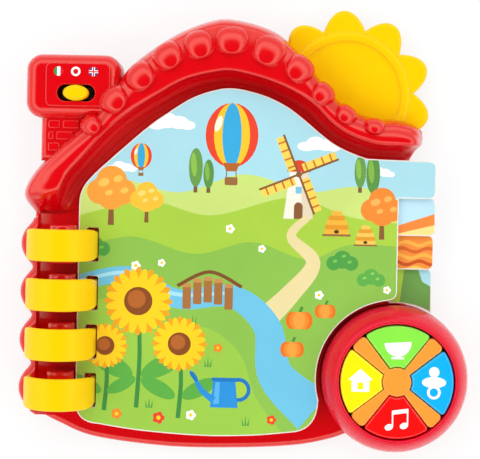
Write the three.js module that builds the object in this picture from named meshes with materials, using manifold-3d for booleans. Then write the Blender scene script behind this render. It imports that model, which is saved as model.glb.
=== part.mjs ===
// A talking board book for a toddler: printed leaves on four arch rings, in a moulded barn-shaped
// housing with a round push-button unit, a chimney with a slide switch and a sun behind the roof.
// It lies on its back. Millimetres, +Z up, +X right, +Y towards the roof.
import * as THREE from "three";
import { mergeVertices } from "three/addons/utils/BufferGeometryUtils.js";
import Module from "manifold-3d";

const wasm = await Module();
wasm.setup();

// Driving dimensions: walls, heights and clearances
const clearance = 0.3;
const wall = 2.4;
const backThickness = 2.4;
const backInset = 0.8;
const trayTop = 11;
const trayEdgeRadius = 4;
const boardThickness = 3;
const boardSlit = 0.3;
const innerBoards = 3;

// The rings and the spine that carries them
const ringPitch = 30.1;
const ringCount = 4;
const firstRingY = -11.6;
const ringWidth = 19.5;
const ringInnerRadius = 18.4;
const ringThickness = 3.2;
const ringEdge = 1.1;
const ringAxisX = -111.5;
const hingeRise = 4;
const podRadius = 19.2;
const podOffset = 8;
const podTop = 20;
const podEdge = 6;
const troughFloor = 13;
const troughReach = 8.5;
const humpRadius = 8.6;
const humpRise = 23;
const humpLength = 24;
const humpEdge = 3;

// The leaves
const leafEdgeOffset = 9.6;
const slotStart = 14.5;
const slotEnd = 22.3;
const slotWidth = 21.3;
const slotCorner = 1.4;
const leafRight = 96.3;
const bindingOverRings = 21.6;
const bindingUnderRings = 1.9;
const tabReach = 118.4;
const tabCorner = 4;

// The round unit
const unitX = 96.3;
const unitAboveLastRing = 10.3;
const unitRadius = 46;
const unitTop = 36;
const unitGap = 3.2;
const dialInset = 10.4;
const dialRadius = unitRadius - dialInset;
const dialPlateZ = 27;
const dialPlateThickness = 3;
const crossThickness = 4.5;
const crossHubRadius = 9;
const wedgeHalfAngle = 38;
const wedgeSide = 1.7;
const firstArmAngle = 45;
const buttonOrder = ["green", "yellow", "red", "blue"];
const buttonTop = 35.2;
const buttonTravel = 2;
const buttonGap = 0.4;
const buttonLip = 1.4;
const buttonLipThickness = 2.7;
const boardZ = 17;
const circuitThickness = 1.6;
const matThickness = 1.6;

// The chimney and its slide switch
const headLeft = -136;
const headRight = -77.5;
const headBottom = 66.5;
const headTop = 106;
const headHeight = 30;
const headEdge = 8;
const stackRight = -90;
const stackLeft = -126.6;
const stackBottom = 40;
const stackHeight = 24;
const stackEdge = 3;
const stackFoot = [13.6, 24];
const panelBox = [-123.5, 73.3, -83.5, 100.5];
const panelCorner = 4;
const brickRows = 3;
const brickColumns = 3;
const brickSize = [10.5, 5.4];
const brickPitch = [12, 7];
const brickShift = 4;
const brickRise = 1;
const panelRise = 1.2;
const knobX = -104.5;
const knobY = 81.8;
const knobLength = 15.7;
const knobWidth = 9.7;
const knobTravel = 3.5;
const knobTop = 35;
const knobEdge = 2.6;
const pegLength = 4;
const pegWidth = 3.2;
const switchLength = 19;
const switchWidth = 8;
const switchHeight = 7;
const switchDrop = 3.4;
const railLength = 16;

// The sun behind the roof
const sunX = 63.4;
const sunY = 85;
const sunValley = 42.2;
const sunTip = 53.5;
const sunPetals = 10;
const sunPhase = 128.8;
const sunBottom = 5;
const sunTop = 13;
const sunTongue = 4;
const sunBeadRadius = 36.6;
const sunBeadThickness = 3.3;
const sunBeadSink = 0.8;

// The power and sound parts
const cellLength = 44.5;
const cellRadius = 5.25;
const cellNub = 1.9;
const cellCount = 3;
const bayY = 11;
const contactThickness = 0.5;
const contactSpring = 2;
const contactNub = 0.9;
const bayWall = 1.5;
const doorThickness = 1.8;
const tabLength = 9;
const tabHalf = 5;
const speakerY = -22.5;
const speakerRadius = 13;
const speakerDepth = 7;
const screwRadius = 1.2;
const screwHeadRadius = 3.1;
const screwHeadDepth = 1.1;
const screwSeat = 1.3;
const screwLength = 7;
const bossRadius = 4;
const wireRadius = 1.1;
const leadSteps = 18;

// Worked out from the sizes above. The lower end of the book follows the last ring.
const ringYs = Array.from({ length: ringCount }, (unused, i) => firstRingY - i * ringPitch);
const lastRingY = ringYs[ringCount - 1];
const unitY = lastRingY + unitAboveLastRing;
const boardPitch = boardThickness + boardSlit;
const blockTop = trayTop + innerBoards * boardPitch - boardSlit;
const leafBottom = blockTop + clearance;
const leafTop = leafBottom + boardThickness;
const hingeZ = leafTop + hingeRise;
const ringOuterRadius = ringInnerRadius + ringThickness;
const podX = ringAxisX - podOffset;
const leafLeft = ringAxisX + leafEdgeOffset;
const plateUnderside = trayTop - wall;
const crossZ = dialPlateZ + dialPlateThickness;
const switchTop = headHeight - wall - switchDrop;
const switchZ = switchTop - switchHeight;
const lipBottom = dialPlateZ - clearance - buttonLipThickness;
const cutRadius = unitRadius + unitGap;
const cellBottom = backThickness + 0.6;
const cellZ = cellBottom + cellRadius;
const bayLength = cellLength + 2 * contactThickness + contactSpring + contactNub + 4 * clearance;
const bayWidth = cellCount * 2 * cellRadius + (cellCount + 1) * clearance;
const bayTop = cellZ + 2;

// The roof, as stations from its left end round the ridge to its right end. Each row has the outer
// edge, the crease, the inner edge beside the leaves, and the height of the crease.
const roofRows = [
  [-131, 8, -117, 9, -104.6, 10, 15],
  [-137.6, 18, -114.5, 20, -103.9, 19, 29],
  [-132.6, 31, -109, 32, -99.2, 28.6, 30.5],
  [-118, 47.7, -99, 43.5, -91.2, 37, 31],
  [-98, 66.5, -86, 58, -77, 49.8, 32],
  [-86, 83, -71, 71, -62.7, 62.4, 33],
  [-70, 102.3, -53.5, 82.5, -48.3, 73.1, 34],
  [-46, 119.8, -37.5, 91.6, -34, 82.3, 34],
  [-24, 129.4, -20.5, 96.3, -19.8, 87.5, 34],
  [-8, 131, -7.5, 97.3, -7, 88.9, 34],
  [17, 124, 13, 92.5, 11.2, 85.1, 34],
  [36, 108, 30, 85.5, 26, 78.7, 33.5],
  [47, 94, 42.5, 77.5, 36, 71.5, 33],
  [56.5, 83.5, 53, 67.3, 46, 63.3, 32],
  [67, 76, 64, 60, 56, 56.3, 31],
  [83, 70.8, 80, 54.5, 73.5, 48.3, 30],
  [95, 70.5, 94, 53.6, 92, 46.9, 29],
  [107, 67, 105, 53.6, 102.5, 46.9, 27],
  [112, 60.5, 110.5, 54.5, 104.5, 48.5, 15],
];
const [roofEndX, roofEndY] = roofRows[roofRows.length - 1];
const roofSteps = 2;
const roofShoulder = 7;
const roofFoot = 8;
const coveFoot = 12;
const roofCrown = 1.5;

// The tray's lower edge from the corner to the round unit, as places and drops below the last ring
const trayCornerRadius = 12.5;
const trayCornerDrop = 6.5;
const trayCornerEnd = 244;
const trayLowerEdge = [
  [-113.5, 22.9],
  [-91, 31.4],
  [-45, 36.7],
  [0, 36.7],
  [36, 34.3],
  [58, 29.7],
  [70, 25.1],
];
const trayRight = 103.5;
const trayRightFoot = 20;
const trayRightTop = 44;

// The leaves' lower edge, as places and drops below the last ring
const leafCornerDrop = 6.1;
const leafCorner = [-88, 20.1, 20.7];
const leafLowerEdge = [
  [-61, 24.4],
  [-24, 26.8],
  [8, 26.1],
  [32, 23.7],
];
const leafCutStart = 196;
const leafCutEnd = 97;
const leafCutDrop = 22.6;
const leafShoulder = [0.4, 5];

// The leaves' arch under the roof, from right to left
const leafArchStart = 44.6;
const leafArch = [
  [83, 45],
  [73, 46.2],
  [55, 54.2],
  [35, 69.9],
  [25, 76.9],
  [10.7, 83.3],
  [-7, 87.1],
  [-19.6, 85.6],
  [-33.7, 80.4],
  [-47.8, 71.3],
  [-61.8, 60.8],
  [-89.5, 35.7],
  [-97.6, 27],
];
const leafTopLeft = [21, 14];

// The step tabs share the edge between the arch and the round unit, from the cover down: where
// each one ends and starts, as shares of that edge, and how far it falls short of the longest
const tabsTop = 44.4;
const tabsFoot = unitY + cutRadius + 1.4;
const tabShares = [
  [0.275, 0, 0],
  [0.546, 0.283, 0],
  [0.794, 0.555, 0.6],
  [1, 0.803, 2],
];
const tabHeight = (share) => tabsTop - share * (tabsTop - tabsFoot);
const leafTabs = tabShares.map(([end, start, short]) => [tabHeight(end), tabHeight(start), tabReach - short]);

// The clay tiles that stand on the ridge: centre, length along the roof, width across it, turn
const roofTiles = [
  [-94.9, 62.3, 13.9, 13.2, 49],
  [-81.1, 78, 19.7, 16.5, 50],
  [-65.1, 92.4, 20.9, 17.6, 45],
  [-48.4, 105.4, 20.9, 17.6, 34],
  [-29.3, 112.8, 20.9, 18.7, 18],
  [-9.2, 116.1, 23.2, 18.7, 0],
  [13.6, 110, 23.2, 19.8, -25],
  [32.7, 99.1, 19.7, 17.6, -45],
  [47.5, 84.4, 16.2, 14.3, -48],
  [62.2, 72.1, 15.1, 12.1, -35],
  [79.8, 65.6, 13.9, 10.5, -8],
];
const tileRise = 4.5;
const tileSink = 3;

const radians = THREE.MathUtils.degToRad;

// Solids from closed three.js geometry, and back
function solidOf(geometry) {
  const bare = geometry.clone();
  bare.deleteAttribute("normal");
  bare.deleteAttribute("uv");
  const merged = mergeVertices(bare, 1e-3);
  const mesh = new wasm.Mesh({
    numProp: 3,
    vertProperties: new Float32Array(merged.attributes.position.array),
    triVerts: new Uint32Array(merged.index.array),
  });
  return new wasm.Manifold(mesh);
}

function geometryOf(solid) {
  const mesh = solid.getMesh();
  const geometry = new THREE.BufferGeometry();
  geometry.setAttribute("position", new THREE.BufferAttribute(new Float32Array(mesh.vertProperties), 3));
  geometry.setIndex(new THREE.BufferAttribute(new Uint32Array(mesh.triVerts), 1));
  geometry.computeVertexNormals();
  return geometry;
}

const join = (solids) => solids.reduce((sum, next) => sum.add(next));
const cut = (solid, tools) => tools.reduce((rest, tool) => rest.subtract(tool), solid);

// Closed loops of points, counter-clockwise, without repeated points
function loopOf(path, divisions = 6) {
  const points = path.getPoints(divisions);
  const loop = points.filter((p, i) => i === 0 || p.distanceTo(points[i - 1]) > 0.02);
  if (loop[0].distanceTo(loop[loop.length - 1]) < 0.02) loop.pop();
  return THREE.ShapeUtils.area(loop) < 0 ? loop.reverse() : loop;
}

function offsetLoop(loop, distance) {
  return loop.map((p, i) => {
    const before = loop[(i + loop.length - 1) % loop.length];
    const after = loop[(i + 1) % loop.length];
    const a = new THREE.Vector2(p.y - before.y, before.x - p.x).normalize();
    const b = new THREE.Vector2(after.y - p.y, p.x - after.x).normalize();
    const mitre = a.clone().add(b).multiplyScalar(distance / (1 + a.dot(b)));
    return p.clone().add(mitre);
  });
}

const rectangle = (x0, y0, x1, y1) => [
  new THREE.Vector2(x0, y0),
  new THREE.Vector2(x1, y0),
  new THREE.Vector2(x1, y1),
  new THREE.Vector2(x0, y1),
];

function roundedRectangle(x0, y0, x1, y1, radius, divisions = 2) {
  const path = new THREE.Path();
  path.moveTo(x0 + radius, y0);
  path.absarc(x1 - radius, y0 + radius, radius, radians(-90), 0);
  path.absarc(x1 - radius, y1 - radius, radius, 0, radians(90));
  path.absarc(x0 + radius, y1 - radius, radius, radians(90), radians(180));
  path.absarc(x0 + radius, y0 + radius, radius, radians(180), radians(270));
  return loopOf(path, divisions);
}

function circleLoop(x, y, radius, sides = 40) {
  return Array.from({ length: sides }, (unused, i) => {
    const angle = (2 * Math.PI * i) / sides;
    return new THREE.Vector2(x + radius * Math.cos(angle), y + radius * Math.sin(angle));
  });
}

// A closed skin over rings of points that all have the same count, with flat ends
function loftSolid(rings, contourOf) {
  const count = rings[0].length;
  const triangles = [];
  for (let r = 0; r + 1 < rings.length; r++) {
    for (let i = 0; i < count; i++) {
      const j = (i + 1) % count;
      const low = r * count;
      const high = low + count;
      triangles.push(low + i, low + j, high + j, low + i, high + j, high + i);
    }
  }
  const last = (rings.length - 1) * count;
  for (const [a, b, c] of THREE.ShapeUtils.triangulateShape(contourOf(rings[0]), [])) {
    triangles.push(c, b, a);
  }
  for (const [a, b, c] of THREE.ShapeUtils.triangulateShape(contourOf(rings[rings.length - 1]), [])) {
    triangles.push(last + a, last + b, last + c);
  }
  const geometry = new THREE.BufferGeometry();
  const flat = rings.flatMap((ring) => ring.flatMap((p) => [p.x, p.y, p.z]));
  geometry.setAttribute("position", new THREE.Float32BufferAttribute(flat, 3));
  geometry.setIndex(triangles);
  return geometry;
}

// A plate with a loop as its outline, whose top and bottom edges may be rounded
function slabGeometry(loop, bottom, top, topRadius = 0, bottomRadius = 0, steps = 3) {
  const levels = [];
  const quarter = Math.PI / 2;
  for (let k = 0; k <= (bottomRadius ? steps : 0); k++) {
    const angle = bottomRadius ? (quarter * k) / steps : quarter;
    levels.push([bottom + bottomRadius * (1 - Math.cos(angle)), bottomRadius * (1 - Math.sin(angle))]);
  }
  if (!bottomRadius) levels[0] = [bottom, 0];
  for (let k = 0; k <= (topRadius ? steps : 0); k++) {
    const angle = topRadius ? (quarter * k) / steps : 0;
    levels.push([top - topRadius * (1 - Math.sin(angle)), topRadius * (1 - Math.cos(angle))]);
  }
  if (!topRadius) levels[levels.length - 1] = [top, 0];
  const rings = levels.map(([z, inset]) =>
    (inset ? offsetLoop(loop, -backInset) : loop).map((p) => new THREE.Vector3(p.x, p.y, z)),
  );
  return loftSolid(rings, () => loop);
}

const slab = (...sizes) => solidOf(slabGeometry(...sizes));
const box = (x0, y0, z0, x1, y1, z1) => slab(rectangle(x0, y0, x1, y1), z0, z1);

// A turned solid about a vertical line through (x, y); its profile is radius and height
function turned(profile, x, y, sides = 40) {
  const geometry = new THREE.LatheGeometry(profile.map(([r, z]) => new THREE.Vector2(r, z)), sides);
  geometry.rotateX(Math.PI / 2);
  geometry.translate(x, y, 0);
  return solidOf(geometry);
}

const post = (x, y, radius, bottom, top, sides = 12) => slab(circleLoop(x, y, radius, sides), bottom, top);

// The outline of the tray: roof ridge, spine, bottom edge and right side
const columnOf = (first) => roofRows.map((row) => new THREE.Vector2(row[first], row[first + 1]));

const pointsOf = (rows) => rows.map(([x, y]) => new THREE.Vector2(x, y));
const dropped = (rows) => pointsOf(rows.map(([x, drop]) => [x, lastRingY - drop]));

function bodyLoop() {
  const path = new THREE.Path();
  const cornerX = roofRows[0][0] + trayCornerRadius;
  const cornerY = lastRingY - trayCornerDrop;
  path.absarc(cornerX, cornerY, trayCornerRadius, radians(180), radians(trayCornerEnd));
  path.splineThru(dropped(trayLowerEdge));
  path.lineTo(unitX, unitY);
  path.lineTo(trayRight, unitY + trayRightFoot);
  path.lineTo(trayRight, trayRightTop);
  path.splineThru(columnOf(0).reverse());
  return loopOf(path, 2);
}

function podLoop(y) {
  return circleLoop(podX, y, podRadius, 28);
}

// The chimney outlines
const headLoop = roundedRectangle(headLeft, headBottom, headRight, headTop, headEdge + 2);
const stackLoop = chamferedRectangle(stackLeft, stackBottom, stackRight, headBottom + headEdge, stackFoot);

// A rectangle whose lower right corner is cut off by the given width and height
function chamferedRectangle(x0, y0, x1, y1, [width, height]) {
  const points = [
    [x0, y0],
    [x0 + width, y0],
    [x1, y0 + height],
    [x1, y1],
    [x0, y1],
  ];
  return pointsOf(points);
}

// The roof ridge: one skin over cross sections that run from the outer edge over the shoulder and
// the front face to the crease, then down the scooped cove to the leaves
function roofSection(outer, crease, inner, height) {
  const ring = [];
  const face = outer.distanceTo(crease);
  const point = (from, to, share, z) => {
    const p = from.clone().lerp(to, share);
    ring.push(new THREE.Vector3(p.x, p.y, z));
  };
  const shoulder = Math.min(roofShoulder / face, 0.6);
  const foot = Math.min(roofFoot, height - 3);
  point(outer, crease, 0, backThickness + wall);
  for (const angle of [0, 35, 90].map(radians)) {
    point(outer, crease, shoulder * (1 - Math.cos(angle)), foot + (height - 2 - foot) * Math.sin(angle));
  }
  point(outer, crease, (1 + shoulder) / 2, height - 1 + roofCrown);
  point(outer, crease, 1, height);
  for (const angle of [25, 55, 90].map(radians)) {
    const z = height - (height - coveFoot) * Math.sin(angle);
    point(inner, crease, Math.cos(angle), z);
  }
  point(inner, crease, 0, backThickness + wall);
  return ring;
}

function roofRidge() {
  const curve = (first) => new THREE.SplineCurve(columnOf(first));
  const outer = curve(0);
  const crease = curve(2);
  const inner = curve(4);
  const heights = new THREE.SplineCurve(roofRows.map((row, i) => new THREE.Vector2(i, row[6])));
  const stations = (roofRows.length - 1) * roofSteps;
  const rings = [];
  for (let k = 0; k <= stations; k++) {
    const t = k / stations;
    const at = [outer, crease, inner].map((c) => c.getPoint(t));
    rings.push(roofSection(...at, heights.getPoint(t).y));
  }
  const sectionPlan = (ring) => {
    const start = ring[0];
    return ring.map((p) => new THREE.Vector2(-Math.hypot(p.x - start.x, p.y - start.y), p.z));
  };
  return solidOf(loftSolid(rings, sectionPlan));
}

// How high the front face of the roof stands at its nearest station
function roofHeightNear(x, y) {
  const near = roofRows.map((row) => [Math.hypot(row[0] / 2 + row[2] / 2 - x, row[1] / 2 + row[3] / 2 - y), row[6]]);
  near.sort((a, b) => a[0] - b[0]);
  return near[0][1];
}

function roofTile([x, y, length, width, turn]) {
  const geometry = new THREE.SphereGeometry(0.5, 10, 5);
  geometry.rotateX(Math.PI / 2);
  geometry.scale(length, width, 2 * (tileRise + tileSink));
  geometry.rotateZ(radians(turn));
  geometry.translate(x, y, roofHeightNear(x, y) - tileSink - 0.6);
  return solidOf(geometry);
}

// The bevelled half-round hump under each ring
function hump(y) {
  const profile = new THREE.Path();
  profile.moveTo(-humpRadius, trayTop - 1);
  profile.lineTo(humpRadius, trayTop - 1);
  profile.lineTo(humpRadius, humpRise);
  profile.absarc(0, humpRise, humpRadius, 0, Math.PI);
  const loop = loopOf(profile, 7);
  const geometry = slabGeometry(loop, -humpLength / 2, humpLength / 2, humpEdge, humpEdge, 1);
  geometry.rotateX(Math.PI / 2);
  geometry.translate(ringAxisX, y, 0);
  return solidOf(geometry);
}

// An arch ring: a half circle on two straight legs, with rounded edges
function ringLoop() {
  const path = new THREE.Path();
  path.moveTo(ringInnerRadius, plateUnderside);
  path.lineTo(ringOuterRadius, plateUnderside);
  path.absarc(0, hingeZ, ringOuterRadius, 0, Math.PI);
  path.lineTo(-ringOuterRadius, troughFloor);
  path.lineTo(-ringInnerRadius, troughFloor);
  path.absarc(0, hingeZ, ringInnerRadius, Math.PI, 0, true);
  return loopOf(path, 8);
}

function ring(y) {
  const geometry = slabGeometry(ringLoop(), -ringWidth / 2, ringWidth / 2, ringEdge, ringEdge, 1);
  geometry.rotateX(Math.PI / 2);
  geometry.translate(ringAxisX, y, 0);
  return solidOf(geometry);
}

// The holes in the tray and the spine wall that the ring's legs stand in
function legHoles(y) {
  const half = ringWidth / 2 + clearance;
  const inner = ringInnerRadius - clearance;
  const outer = ringOuterRadius + clearance;
  return [1, -1].map((side) => {
    const x = [ringAxisX + side * inner, ringAxisX + side * outer].sort((a, b) => a - b);
    const floor = side > 0 ? plateUnderside - 1 : troughFloor - clearance;
    return box(x[0], y - half, floor, x[1], y + half, hingeZ);
  });
}

// The outline of a leaf with one step tab
function leafPath(tabBottom, tabTop, reach) {
  const path = new THREE.Path();
  const cutStart = radians(leafCutStart);
  const cutX = unitX + cutRadius * Math.cos(cutStart);
  const shoulderY = unitY + cutRadius;
  const [cornerX, cornerDrop, cornerEndDrop] = leafCorner;
  path.moveTo(leafLeft, leafTopLeft[1]);
  path.lineTo(leafLeft, lastRingY - leafCornerDrop);
  path.quadraticCurveTo(leafLeft, lastRingY - cornerDrop, cornerX, lastRingY - cornerEndDrop);
  path.splineThru(dropped(leafLowerEdge));
  path.quadraticCurveTo(cutX - 0.5, lastRingY - leafCutDrop, cutX, unitY + cutRadius * Math.sin(cutStart));
  path.absarc(unitX, unitY, cutRadius, cutStart, radians(leafCutEnd), true);
  const shoulderEnd = Math.min(shoulderY + leafShoulder[1], tabBottom);
  path.quadraticCurveTo(leafRight, shoulderY + leafShoulder[0], leafRight, shoulderEnd);
  path.lineTo(leafRight, tabBottom);
  path.lineTo(reach - tabCorner, tabBottom);
  path.absarc(reach - tabCorner, tabBottom + tabCorner, tabCorner, radians(-90), 0);
  path.absarc(reach - tabCorner, tabTop - tabCorner, tabCorner, 0, radians(90));
  if (tabTop < leafTabs[0][1]) {
    path.lineTo(leafRight, tabTop);
    path.lineTo(leafRight, leafArchStart);
  }
  path.splineThru(pointsOf(leafArch));
  path.quadraticCurveTo(leafLeft, leafTopLeft[0], leafLeft, leafTopLeft[1]);
  return path;
}

function leafBoard(tab, bottom) {
  const loop = loopOf(leafPath(...tab), 2);
  const board = slab(loop, bottom, bottom + boardThickness);
  const slots = ringYs.map((y) =>
    slab(
      roundedRectangle(
        ringAxisX + slotStart,
        y - slotWidth / 2,
        ringAxisX + slotEnd,
        y + slotWidth / 2,
        slotCorner,
        1,
      ),
      bottom - 1,
      bottom + boardThickness + 1,
    ),
  );
  return cut(board, slots);
}

function pageBlock() {
  const boards = [];
  for (let i = 0; i < innerBoards; i++) {
    boards.push(leafBoard(leafTabs[innerBoards - i], trayTop + i * boardPitch));
  }
  const bindingWidth = slotStart - leafEdgeOffset;
  const binding = box(
    leafLeft,
    lastRingY + bindingUnderRings,
    trayTop,
    leafLeft + bindingWidth,
    firstRingY + bindingOverRings,
    blockTop,
  );
  return join([...boards, binding]);
}

// The round unit: a turned shell with a cross-shaped plate that the buttons come up through
function crossLoop(reach) {
  const flare = radians(45 - wedgeHalfAngle);
  const side = wedgeSide - buttonGap;
  const tipCentre = (reach - side) / (1 + Math.sin(flare));
  const tipRadius = reach - tipCentre;
  const root = flare + Math.asin(side / crossHubRadius);
  const points = [];
  for (let arm = 0; arm < 4; arm++) {
    const angle = radians(firstArmAngle + arm * 90);
    const place = (centre, radius, turn) => {
      const u = centre + radius * Math.cos(turn);
      const v = radius * Math.sin(turn);
      const x = unitX + u * Math.cos(angle) - v * Math.sin(angle);
      points.push(new THREE.Vector2(x, unitY + u * Math.sin(angle) + v * Math.cos(angle)));
    };
    place(0, crossHubRadius, -root);
    for (const share of [-1, -0.5, 0, 0.5, 1]) place(tipCentre, tipRadius, share * (Math.PI / 2 + flare));
    for (const share of [0, 0.33, 0.67]) place(0, crossHubRadius, root + share * (Math.PI / 2 - 2 * root));
  }
  return points;
}

// A wedge button's outline: an outer arc, two sides beside the cross and a hollow inner end
function wedgeLoop(middle, grow = 0) {
  const outer = dialRadius - 2 * buttonGap + grow;
  const side = wedgeSide - grow;
  const inner = crossHubRadius + buttonGap - grow;
  const spread = radians(wedgeHalfAngle) - Math.asin(side / outer);
  const innerSpread = radians(wedgeHalfAngle) - Math.asin(side / inner);
  const points = [];
  const steps = 7;
  const arc = (radius, from, to) => {
    for (let k = 0; k <= steps; k++) {
      const angle = radians(middle) + from + ((to - from) * k) / steps;
      points.push(new THREE.Vector2(unitX + radius * Math.cos(angle), unitY + radius * Math.sin(angle)));
    }
  };
  arc(outer, -spread, spread);
  arc(inner, innerSpread, -innerSpread);
  return points;
}

// Each button stands halfway between two arms of the cross
const buttonAngles = buttonOrder.map((colour, i) => firstArmAngle + 45 + i * 90);

function wedgeButton(middle) {
  const cap = slab(wedgeLoop(middle), lipBottom + 1, buttonTop, 1.6, 0, 3);
  const lip = slab(wedgeLoop(middle, buttonLip), lipBottom, lipBottom + buttonLipThickness);
  return cap.add(lip);
}

const bezelFoot = unitRadius - 0.4;
const circuitRadius = unitRadius - 5.8;
const ledgeRadius = circuitRadius - 1.7;
const ledgeZ = boardZ + circuitThickness;

function unitBezel() {
  const shell = turned(
    [
      [circuitRadius + clearance, trayTop],
      [bezelFoot, trayTop],
      [unitRadius - 0.2, trayTop + 5],
      [unitRadius - 0.6, unitTop - 15],
      [unitRadius - 2.2, unitTop - 9],
      [unitRadius - 4.8, unitTop - 4.2],
      [unitRadius - 7.4, unitTop - 1],
      [dialRadius + 1.4, unitTop],
      [dialRadius, unitTop - 1.6],
      [dialRadius, dialPlateZ],
      [ledgeRadius, dialPlateZ],
      [ledgeRadius, ledgeZ],
      [circuitRadius + clearance, ledgeZ],
      [circuitRadius + clearance, trayTop],
    ],
    unitX,
    unitY,
    44,
  );
  const spider = slab(crossLoop(dialRadius + 2.2), dialPlateZ, crossZ);
  return shell.add(spider);
}

function keypadMat() {
  const bottom = ledgeZ;
  const mat = post(unitX, unitY, ledgeRadius - 4, bottom, bottom + matThickness, 32);
  const domeTop = lipBottom - buttonTravel - clearance;
  const domes = buttonAngles.map((angle) =>
    post(
      unitX + 22 * Math.cos(radians(angle)),
      unitY + 22 * Math.sin(radians(angle)),
      5,
      bottom + matThickness - 0.2,
      domeTop,
    ),
  );
  return join([mat, ...domes]);
}

// The screws that hold the back cover, and the bosses they turn into
const screwPlaces = [
  [-78, lastRingY - 20.1],
  [20, lastRingY - 25.1],
  [86, 30],
  [-10, 108],
  [-115, 24],
  [-128, 96],
];

function screw(x, y, length) {
  const seat = screwSeat;
  return turned(
    [
      [0, seat - screwHeadDepth],
      [screwHeadRadius - 0.4, seat - screwHeadDepth],
      [screwHeadRadius, seat - screwHeadDepth + 0.5],
      [screwHeadRadius, seat],
      [screwRadius, seat],
      [screwRadius, seat + length - 1.2],
      [0, seat + length],
    ],
    x,
    y,
    12,
  );
}

function screwHole(x, y, through) {
  const head = post(x, y, screwHeadRadius + clearance, -1, screwSeat, 20);
  return head.add(post(x, y, screwRadius + clearance, 0, through));
}

// The sun: scalloped petals round a disc with one raised bead
function sunLoop(grow = 0) {
  const sides = sunPetals * 6;
  return Array.from({ length: sides }, (unused, i) => {
    const angle = (2 * Math.PI * i) / sides;
    const petal = Math.abs(Math.cos((sunPetals / 2) * (angle - radians(sunPhase))));
    const radius = sunValley + (sunTip - sunValley) * petal + grow;
    return new THREE.Vector2(sunX + radius * Math.cos(angle), sunY + radius * Math.sin(angle));
  });
}

function sunBead(thickness) {
  const bead = new THREE.TorusGeometry(sunBeadRadius, thickness, 6, 28);
  bead.translate(sunX, sunY, sunTop - sunBeadSink);
  return solidOf(bead);
}

function sunDisc() {
  const disc = slab(sunLoop(), sunBottom, sunTop, 2, 2, 2);
  const behindRoof = slab(offsetLoop(trayLoop, -sunTongue), sunBottom - 5, sunTop + 10);
  const belowRoof = box(roofEndX - 12, 0, sunBottom - 5, roofEndX + 30, roofEndY + 2, sunTop + 10);
  return cut(disc.add(sunBead(sunBeadThickness)), [behindRoof, belowRoof]);
}

function sunSlot() {
  const slot = slab(sunLoop(clearance), sunBottom - clearance, sunTop + clearance);
  const stop = slab(offsetLoop(trayLoop, -sunTongue - clearance), sunBottom - 5, sunTop + 10);
  return slot.add(sunBead(sunBeadThickness + clearance)).subtract(stop);
}

// The housing, one moulding: tray, spine, roof ridge, chimney and the foot of the round unit
const trayLoop = bodyLoop();
const unitLoop = circleLoop(unitX, unitY, unitRadius, 44);

function brickCourses() {
  const bricks = [];
  for (let row = 0; row < brickRows; row++) {
    for (let column = 0; column < brickColumns; column++) {
      const x = stackLeft + 1.5 + column * brickPitch[0] - (row % 2) * brickShift;
      const y = headBottom - brickPitch[1] * (row + 1) + 0.5;
      const left = Math.max(x, stackLeft + 1);
      const loop = roundedRectangle(left, y, x + brickSize[0], y + brickSize[1], 1, 1);
      bricks.push(slab(loop, stackHeight - 2, stackHeight + brickRise, 0.8, 0, 1));
    }
  }
  return join(bricks).intersect(slab(stackLoop, 0, stackHeight + 2 * brickRise));
}

function frontHousing() {
  const floor = backThickness;
  const body = join([
    slab(trayLoop, floor, trayTop, trayEdgeRadius, 0, 2),
    ...ringYs.map((y) => slab(podLoop(y), floor, podTop, podEdge, 0, 2)),
    slab(unitLoop, floor, trayTop),
    slab(stackLoop, floor, stackHeight, stackEdge),
    slab(headLoop, floor, headHeight, headEdge),
    slab(roundedRectangle(...panelBox, panelCorner), headHeight - 1, headHeight + panelRise, 1),
    brickCourses(),
  ]);
  const podEnd = podRadius + 2;
  const trough = box(
    podX - troughReach,
    lastRingY - podEnd,
    troughFloor,
    leafLeft + slotEnd,
    firstRingY + podEnd - 3,
    podTop + 20,
  );
  const leafRoom = slab(offsetLoop(loopOf(leafPath(...leafTabs[0]), 2), 0.6), trayTop, podTop + 20);
  const open = cut(body, [trough, leafRoom]);
  const formed = join([open, roofRidge(), ...roofTiles.map(roofTile), ...ringYs.map(hump)]);

  const hollow = join([
    slab(offsetLoop(trayLoop, -wall), floor - 1, plateUnderside),
    slab(circleLoop(unitX, unitY, unitRadius - wall, 44), floor - 1, plateUnderside),
    post(unitX, unitY, circuitRadius + clearance, floor - 1, trayTop + 1, 44),
    slab(offsetLoop(headLoop, -wall), floor - 1, headHeight - wall),
    slab(offsetLoop(stackLoop, -wall / 2), floor - 1, plateUnderside),
  ]);
  const slotHalfLength = knobLength / 2 + knobTravel + clearance;
  const slotHalfWidth = knobWidth / 2 + clearance;
  const knobSlot = slab(
    roundedRectangle(
      knobX - slotHalfLength,
      knobY - slotHalfWidth,
      knobX + slotHalfLength,
      knobY + slotHalfWidth,
      slotHalfWidth - 0.1,
      3,
    ),
    floor,
    headHeight + 10,
  );
  const shell = cut(formed, [hollow, knobSlot, sunSlot(), ...ringYs.flatMap(legHoles)]);
  const bosses = screwPlaces.map(([x, y]) => {
    const roofOfBoss = y > headBottom && x < headRight ? headHeight - wall + 0.5 : plateUnderside + 0.5;
    return post(x, y, bossRadius, floor, roofOfBoss);
  });
  const railHalf = switchWidth / 2 + clearance;
  const railTop = headHeight - wall + 0.5;
  const rails = [1, -1].map((side) => {
    const ys = [knobY + side * railHalf, knobY + side * (railHalf + wall)].sort((a, b) => a - b);
    const rail = box(knobX - railLength / 2, ys[0], switchZ, knobX + railLength / 2, ys[1], railTop);
    return rail.subtract(knobSlot);
  });
  const pilots = screwPlaces.map(([x, y]) =>
    post(x, y, screwRadius + clearance, floor - 1, screwSeat + screwLength + 0.6),
  );
  return cut(join([shell, ...bosses, ...rails]), pilots);
}

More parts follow.
